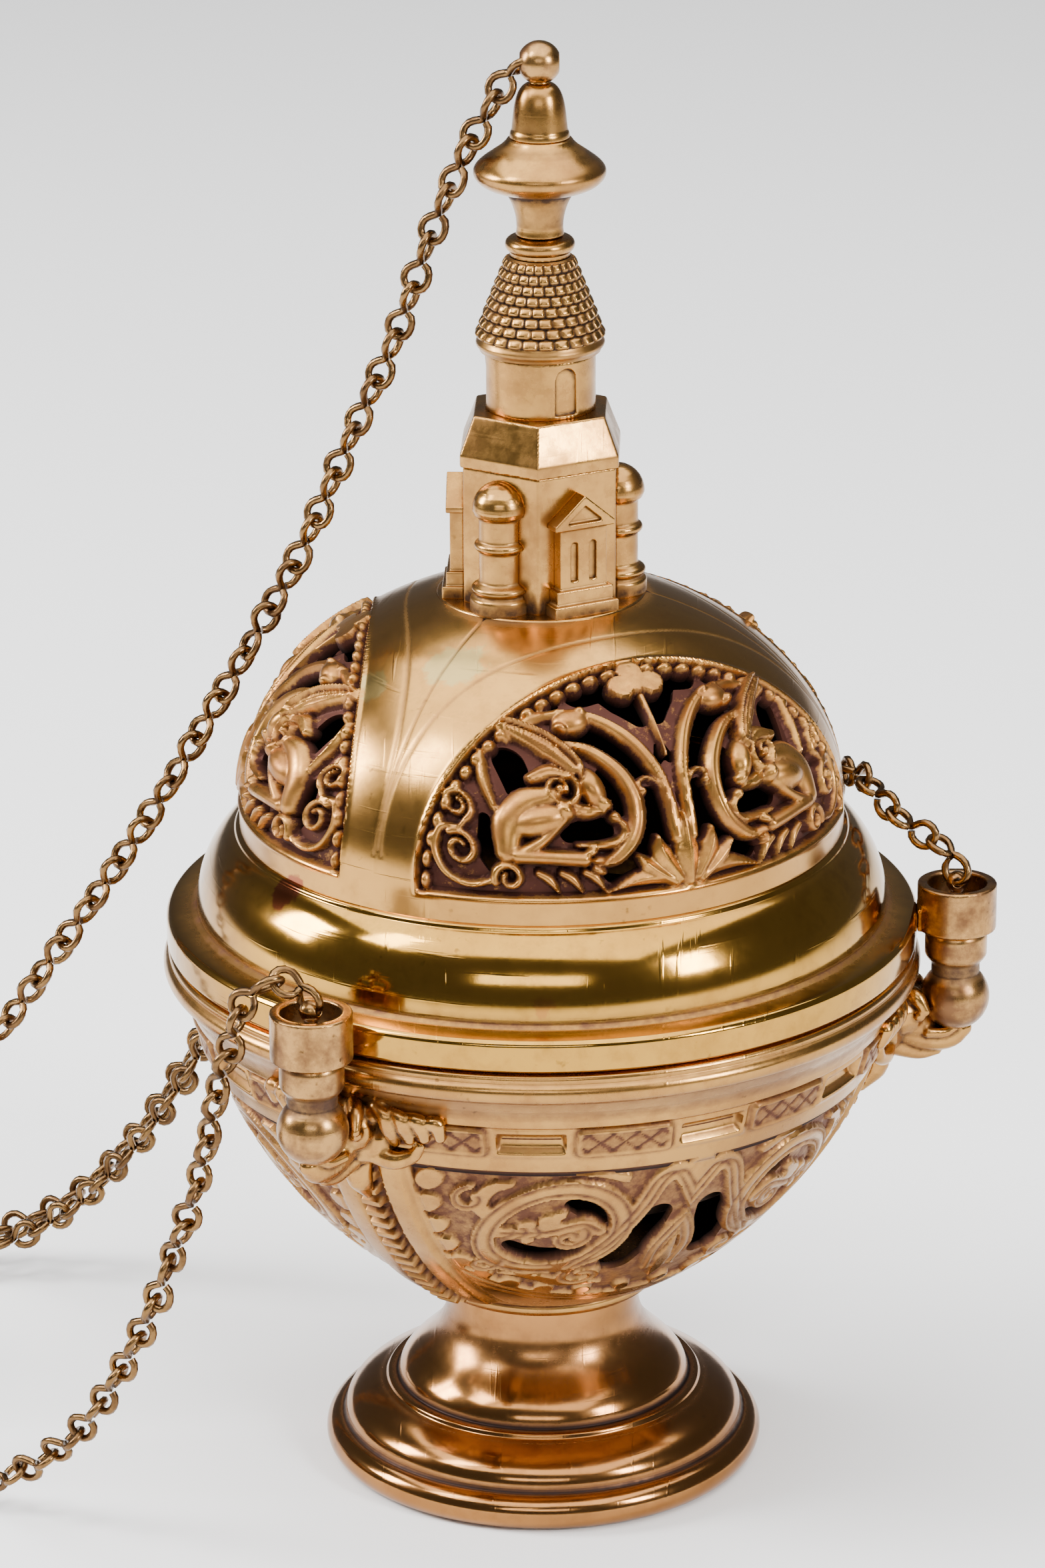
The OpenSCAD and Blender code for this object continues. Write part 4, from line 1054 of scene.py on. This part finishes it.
def smoothed(points, edges, passes):
    """Where each vertex goes when the mesh is smoothed."""
    far = points.copy()
    count = np.maximum(np.bincount(edges.reshape(-1), minlength=len(points)), 1)[:, None]
    for _ in range(passes):
        total = np.zeros_like(far)
        np.add.at(total, edges[:, 0], far[edges[:, 1]])
        np.add.at(total, edges[:, 1], far[edges[:, 0]])
        far = 0.5 * far + 0.5 * total / count
    return far


def read_values(items, what, wide, kind=float):
    """One value of every vertex or edge of a mesh, as rows."""
    out = np.zeros(len(items) * wide, kind)
    items.foreach_get(what, out)
    return out.reshape(-1, wide)


def cast(name, points, faces, material, body, voxel, smooth, dirt_and_shade=1.0, tower_foot_darkening=None):
    """One piece, remeshed and softened the way a casting is. Points are in metres.

    The last argument is two heights, in millimetres: the piece is darkened fully below the first and not at
    all above the second.
    """
    rough = bpy.data.meshes.new(name + "_rough")
    rough.from_pydata(points, [], faces)
    piece = bpy.data.objects.new(name, rough)
    bpy.context.collection.objects.link(piece)
    remesh = piece.modifiers.new("remesh", "REMESH")
    remesh.mode = "VOXEL"
    remesh.voxel_size = voxel * MM
    soften = piece.modifiers.new("soften", "SMOOTH")
    soften.iterations = smooth
    soften.factor = 0.5
    done = bpy.data.meshes.new_from_object(piece.evaluated_get(bpy.context.evaluated_depsgraph_get()))
    done.name = name
    piece.modifiers.clear()
    piece.data = done
    done.materials.clear()
    done.materials.append(material)
    done.shade_smooth()
    co = read_values(done.vertices, "co", 3)
    # A vertex that lies below the smoothed surface is in a hollow, which gets dirt and painted shade
    far = smoothed(co, read_values(done.edges, "vertices", 2, np.int32), HOLLOW_PASSES)
    sunk = np.sum((far - co) * read_values(done.vertices, "normal", 3), 1) / MM
    grime = dirt_and_shade * HOLLOW_GAIN * sunk
    if tower_foot_darkening:
        grime = grime + rise(tower_foot_darkening[1] - co[:, 2] / MM, tower_foot_darkening[1] - tower_foot_darkening[0])
    set_grime_and_shade(done, grime)
    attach(piece, body)
    return piece


def cast_copy(name, node, material, voxel, smooth, dirt_and_shade=1.0, tower_foot_darkening=None, body="lid"):
    """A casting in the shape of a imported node, which it replaces."""
    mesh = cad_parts[node].data
    points = [tuple(v.co) for v in mesh.vertices]
    faces = [list(p.vertices) for p in mesh.polygons]
    piece = cast(name, points, faces, material, body, voxel, smooth, dirt_and_shade, tower_foot_darkening)
    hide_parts(node)


def ball(centre, radii):
    """Points and faces of an ellipsoid, in millimetres."""
    rows, around = 7, 14
    points = [(0, 0, -1)]
    for i in range(1, rows):
        high = math.pi * (i / rows - 0.5)
        for j in range(around):
            turn = 2 * math.pi * j / around
            points.append((math.cos(high) * math.cos(turn), math.cos(high) * math.sin(turn), math.sin(high)))
    points.append((0, 0, 1))
    faces = []
    last = len(points) - 1
    for j in range(around):
        k = (j + 1) % around
        faces.append([0, 1 + k, 1 + j])
        faces.append([last, last - around + j, last - around + k])
        for i in range(rows - 2):
            a, b = 1 + i * around, 1 + (i + 1) * around
            faces.append([a + j, a + k, b + k, b + j])
    return [tuple(c + r * v for c, r, v in zip(centre, radii, p)) for p in points], faces


def tube(path, radii):
    """Balls close together along a smooth line."""
    line = rounded_path(path, 0.25)
    size = np.interp(np.linspace(0, 1, len(line)), np.linspace(0, 1, len(radii)), radii)
    balls, last = [], None
    for centre, r in zip(line.tolist(), size):
        if last is None or math.dist(centre, last) > 0.3 * r:
            balls.append((centre, (r, r, r)))
            last = centre
    return balls


def on_bowl(y, z, out):
    """A point near the bowl's wall, seen from a mask's own front: y sideways, out from the wall."""
    wall_radius, wall_from, flare = 57.4, 77.2, 0.31
    away = wall_radius + max(0.0, z - wall_from) * flare + out
    return math.sqrt(away * away - y * y), y, z


def make_mask(side, angle):
    """A beast's head that holds the post's ball in its jaws, with its mane over the bowl."""
    balls = [((61.0, 0, 81.8), (5.6, 5.6, 4.7)), ((63.6, 0, 79.6), (4.0, 3.8, 3.0)),
             ((58.2, 0, 79), (4, 7.4, 4.8)), ((57.0, 0, 82), (2.6, 12, 3.8))]
    balls += tube([(62, 0, 78.8), (65.6, 0, 77.0), (69.6, 0, 76.8), (72.0, 0, 78.4)], [3.2, 2.8, 2.3, 1.6])
    balls += tube([(60.4, 0, 75.6), (64.4, 0, 74.0), (67.6, 0, 74.2)], [2.4, 1.6, 0.9])
    balls += tube([(57, 0, 75), (57.2, 0, 71.6), (54.6, 0, 67.6)], [2.6, 2.3, 1.2])
    for w in (-1, 1):
        balls += tube([(61.4, w * 2.0, 86.2), (63.8, w * 3.8, 85.4), (65.4, w * 4.8, 83.2)], [1.4, 1.5, 0.9])
        balls.append(((64.4, w * 4.3, 82.3), (1.25, 1.25, 1.25)))
        balls += tube([(66.0, w * 3.0, 78.6), (68.8, w * 2.2, 78.4), (70.8, w * 1.6, 79.4)], [1.0, 1.0, 0.8])
        balls += tube([(60.0, w * 5.0, 84.8), (59.4, w * 6.6, 87.0), (59.6, w * 7.8, 88.6)], [1.9, 1.6, 0.8])
        for k in range(4):
            y = 6.4 + 2.7 * k
            top, low = 86.0 - 0.6 * k, 79.8 + 0.7 * k
            lock = [on_bowl(y - 0.6, top, 0.8), on_bowl(y + 1.5, (top + low) / 2 + 1.4, 1.7 - 0.25 * k),
                    on_bowl(y + 1.6, low, 0.8)]
            balls += tube([(x, w * q, z) for x, q, z in lock], [1.2, 1.75 - 0.1 * k, 1.1])
        jowl = [on_bowl(4, 77.2, 1.2), on_bowl(7.6, 76.4, 1.4), on_bowl(10.6, 77.4, 0.9),
                on_bowl(12.2, 79.4, 0.6)]
        balls += tube([(x, w * q, z) for x, q, z in jowl], [2.2, 1.9, 1.5, 0.9])
    points, faces = [], []
    turn = math.radians(angle)
    c, s = math.cos(turn), math.sin(turn)
    for centre, radii in balls:
        p, f = ball(centre, radii)
        faces += [[i + len(points) for i in face] for face in f]
        points += [((x * c - y * s) * MM, (x * s + y * c) * MM, z * MM) for x, y, z in p]
    piece = cast("beast_mask_" + side, points, faces, WORN_GOLD, "base", 0.26, 4, 1.6)
    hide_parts("mask_" + side)


def make_castings():
    for side, angle in STRAPS.items():
        # Where two heights are given, the piece gets darker towards its foot on the dome
        cast_copy("turret_cast_" + side, "turret_" + side, TOWER, 0.2, 3, 1.2, (155, 160))
        cast_copy("ring_cast_" + side, "guide_ring_" + side, WORN, 0.26, 3, 0.8)
        cast_copy("eye_cast_" + side, "chain_eye_" + side, WORN, 0.16, 1, 0.8, body="base")
        make_mask(side, angle)
    for side in PANELS:
        cast_copy("gable_cast_" + side, "gable_" + side, TOWER, 0.16, 3, 1.2, (155, 159))
    cast_copy("tower_cast", "tower_body", TOWER, 0.26, 3, 1, (155.5, 161))
    cast_copy("roof_cast", "tower_roof", TOWER, 0.24, 3)
    cast_copy("drum_cast", "tower_drum", TOWER, 0.2, 2, 1.5)
    cast_copy("ball_eye_cast", "ball_eye", WORN, 0.16, 2)


make_castings()


def make_shingles():
    """The conical roof, with eight rows of round-cornered bosses."""
    rows, columns = 8, 24
    slope = [(10.2, 200.6), (5.35, 213.7)]
    cone = Profile([(9.2, 198), (10.0, 198.2), (10.35, 199.1), *slope, (5.0, 214)], 200.6)
    s = np.arange(cone.run[0], cone.run[-1] + 0.05, 0.12)
    turn, s = np.meshgrid(np.radians(np.arange(430) * 360 / 430), s)
    row = s / math.dist(*slope) * rows
    k = np.floor(row)
    cell = (turn * columns / (2 * math.pi) + (k % 2) * 0.5) % 1 - 0.5
    up = row - k - 0.5
    radius, _ = cone.at(s)
    half = np.minimum(radius * math.pi / columns, 1.1)
    q = (np.abs(cell * 2) ** 4 + np.abs(up * 2) ** 4) ** 0.25
    boss = (0.3 + 0.4 * half) * np.clip(1 - q**3, 0, 1) ** 0.6 * (1 - 0.5 * up)
    zone = (row > 0) & (row < rows)
    height = np.where(zone, boss, 0.35 * hump(s + 1.0, 0.6))
    # Between the bosses: dirt and painted shade
    grime = np.where(zone, np.clip((q - 0.72) * 2.6, 0, 0.9), 0.15)
    whole = np.full(s.shape, -1.0)
    cast_shell("shingle_cone", cone, turn, s, height, whole, 1.5, TOWER, "lid",
               ("cone_roof",), grime)


make_shingles()


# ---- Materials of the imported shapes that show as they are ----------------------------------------


def dress(names, material):
    for name in names:
        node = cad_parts[name]
        for slot in node.material_slots:
            slot.material = material
        if not node.material_slots:
            node.data.materials.append(material)


dress(("foot_bolt", "foot_nut", "tie_rod", "tie_nut"), INNER)
dress(("handpiece_disc",), SATIN)
dress(("handpiece_bush", "handpiece_eyes", "swivel_stud", "finger_ring", "lift_knob", "lift_ring"), WORN)

# ---- Chains ---------------------------------------------------------------------------

WIRE = 0.00135
PITCH = 0.0086
CHAIN_WIDE = 0.0056
COIL_CENTRE = (-0.165, 0.020)
COIL_RADIUS = 0.0275
LAYER = 0.0048
ABOVE_FLOOR = 0.0001
EYE_RADIUS = 0.015
EYE_HIGH = 0.0180

# Each chain's way from its eye to the pile, in millimetres. The other lengths here are in metres
ROUTES_MM = {
    "left": [
        (-35.2, -61, 105.6), (-36.2, -61.4, 109.2), (-41, -63, 110.6), (-45.6, -64, 108),
        (-48, -62.4, 100), (-50.6, -60.2, 91), (-53, -58.4, 79), (-56.6, -55.8, 66), (-60.8, -52.8, 54),
        (-66, -49.2, 41), (-72.4, -44.6, 28), (-80, -39.2, 16.6), (-91, -32, 7), (-106, -24.6, 2.8),
        (-122, -18, 2.4), (-140, -12.4, 2.4), (-156, -10.6, 2.4),
    ],
    "right": [
        (70.5, 0.1, 105.6), (69.8, 0.8, 109.4), (66.4, 2.4, 111.6), (61.4, 5.6, 113.8), (57, 10, 117),
        (54, 17, 118.4), (51.6, 25, 115.6), (49.4, 34.6, 108.6), (43.4, 43, 104), (34, 51, 103.8),
        (23, 57, 103.8), (11, 60.3, 103.8), (-1, 61.3, 103.8), (-13, 59.9, 103.8), (-25, 56, 103.8),
        (-36.6, 49.6, 104.2), (-46.6, 43.4, 104.6), (-54, 42.4, 99.6), (-57.8, 44, 88), (-59.4, 45, 72),
        (-62.4, 47, 56), (-68.4, 50.6, 43.6), (-77.4, 56, 29.6), (-88, 61, 17), (-100, 65, 8),
        (-114, 63.4, 5), (-132, 57.6, 5.4), (-148, 52.2, 6.6), (-158, 50.8, 7.2),
    ],
    "rear": [
        (-35.2, 61, 105.6), (-36, 61.4, 109.4), (-40.6, 62.6, 110.6), (-46.4, 62.2, 108.6),
        (-51.2, 59.6, 101), (-54.6, 57, 89), (-57.4, 54.6, 73), (-62, 54.4, 57), (-68.8, 57.8, 43.2),
        (-78, 62.4, 28.6), (-89, 67.4, 15.8), (-101, 71.6, 7.6), (-116, 70.4, 4.6), (-133, 65, 6),
        (-148, 57.6, 9.8), (-157, 53.6, 12),
    ],
    "lid": [
        (-1, 0, 246.2), (-4.8, -0.2, 244.6), (-7.9, -0.5, 239), (-12, -0.8, 231.6), (-17.6, -1.2, 218.4),
        (-24, -1.7, 200), (-31, -2.2, 184.4), (-39.4, -2.8, 165), (-48, -3.4, 148.8), (-57, -4, 133),
        (-65.6, -4.6, 118.4), (-74.8, -5.2, 104.2), (-83, -5.8, 92.4), (-91.4, -6.4, 80.2),
        (-104, -7.6, 64), (-118, -9, 48), (-132, -10.2, 35), (-146, -10.6, 24.6), (-156, -10.4, 18.6),
    ],
}
ROUTES = {name: [tuple(v / 1000 for v in p) for p in way] for name, way in ROUTES_MM.items()}
# Each chain's layer in the pile, the side that it comes in on, and where it ends: an angle round
# the pile's centre, the distance from it and the height
STORED = {
    "left": (0, -1, 240, EYE_RADIUS, EYE_HIGH),
    "right": (1, 1, 60, EYE_RADIUS, EYE_HIGH),
    "rear": (2, 1, 0, EYE_RADIUS, EYE_HIGH),
    "lid": (3, -1, 180, 0.014, 0.0215),
}


def stored_turns(layer, side, end_angle, end_away, end_high):
    """Two turns of the pile, from the outer one to the inner one, then in and up to the hand-piece."""
    z = (layer + 0.5) * LAYER
    outer, inner = COIL_RADIUS + LAYER / 2, COIL_RADIUS - LAYER / 2
    start, full = 90 * side, 720
    points = []
    for turn in range(30, full + 1, 15):
        radius = outer + (inner - outer) * ease(min(1, max(0, (turn - 315) / 90)))
        points.append(tuple(place(start + side * turn, radius, z)))
    last = start + side * full
    gap = (end_angle - last) * side % 360
    if gap < 100:
        gap += 360
    for t in np.linspace(0.12, 1, 14):
        lift = max(0.0, (t - 0.62) / 0.38)
        radius = inner + (end_away - inner) * min(1, t * 1.5) ** 1.2
        points.append(tuple(place(last + side * gap * t, radius, z + (end_high - z) * lift * lift)))
    return [(x + COIL_CENTRE[0], y + COIL_CENTRE[1], h) for x, y, h in points]


def link_line():
    """The centre line of one jack-chain link, in metres: two open loops set at right angles."""
    w = (CHAIN_WIDE - WIRE) / 2
    end = (PITCH + WIRE) / 2
    loop = [(0.07, 0.32), (0.16, 0.74), (0.4, 1.0), (0.7, 0.98), (0.92, 0.64), (1.0, 0.0), (0.92, -0.64),
            (0.68, -0.98), (0.42, -0.92), (0.24, -0.6), (0.1, -0.22)]
    first = [(-a * end, b * w, 0) for a, b in loop]
    second = [(a * end, 0, b * w) for a, b in reversed(loop)]
    return rounded_path(first + [(0, 0, 0)] + second, step=0.0009)


def carried_frames(path):
    """Directions along and across a path, turned as little as possible from point to point."""
    along = unit_rows(np.gradient(path, axis=0))
    side = np.zeros_like(along)
    u = np.array([0.0, 1.0, 0.0])
    for i, t in enumerate(along):
        u = u - t * (u @ t)
        u /= np.linalg.norm(u)
        side[i] = u
    return along, side, np.cross(along, side)


def link_tube():
    """Points of one link's wire, which has n sides, and its faces."""
    n = 6
    line = link_line()
    line_dir = unit_rows(np.gradient(line, axis=0))
    aid = unit_rows(np.cross(line_dir, (0.3, 0.5, 0.81)))
    third = np.cross(line_dir, aid)
    round_a = np.radians(np.arange(n) * 360 / n)[None, :, None]
    ring = aid[:, None] * np.cos(round_a) + third[:, None] * np.sin(round_a)
    points = (line[:, None] + WIRE / 2 * ring).reshape(-1, 3)
    end = (len(line) - 1) * n
    faces = [[j + i, j + (i + 1) % n, j + n + (i + 1) % n, j + n + i]
             for j in range(0, end, n) for i in range(n)]
    return points, faces + [list(reversed(range(n))), [end + i for i in range(n)]]


def chain_mesh(path, seed):
    """Points and faces of links hooked into each other along a path."""
    rng = random.Random(seed)
    run = run_along(path)
    frames = carried_frames(path)
    link, link_faces = link_tube()
    count = int(run[-1] / PITCH)
    slack = (run[-1] - count * PITCH) / count
    points, faces = [], []
    for k in range(count):
        turn = math.radians(45) + rng.gauss(0, 0.14) + 0.25 * math.sin(0.21 * k + seed)
        tilt = rng.gauss(0, 0.08)
        x, y, z = link.T
        c, s = math.cos(turn), math.sin(turn)
        y, z = y * c - z * s + x * tilt, y * s + z * c
        x = x + (k + 0.5) * (PITCH + slack)
        at = np.clip(x, 0, run[-1])
        base, d, a, b = (np.stack([np.interp(at, run, rows[:, m]) for m in range(3)], 1)
                         for rows in (path, *frames))
        points.append(base + d * (x - at)[:, None] + a * y[:, None] + b * z[:, None])
        faces += [[i + k * len(link) for i in f] for f in link_faces]
    return np.vstack(points), faces


def make_chain(name, seed):
    route = rounded_path(ROUTES[name] + stored_turns(*STORED[name]))
    points, faces = chain_mesh(route, seed)
    points[:, 2] = np.maximum(points[:, 2], ABOVE_FLOOR)
    nodes = ("chain_" + name, "coil_" + name)
    cord = solid("linked_chain_" + name, points / MM, faces, CHAIN, None, nodes, sharp=80)
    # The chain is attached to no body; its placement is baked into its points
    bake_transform(cord)


for number, name in enumerate(ROUTES):
    make_chain(name, SEED + number)
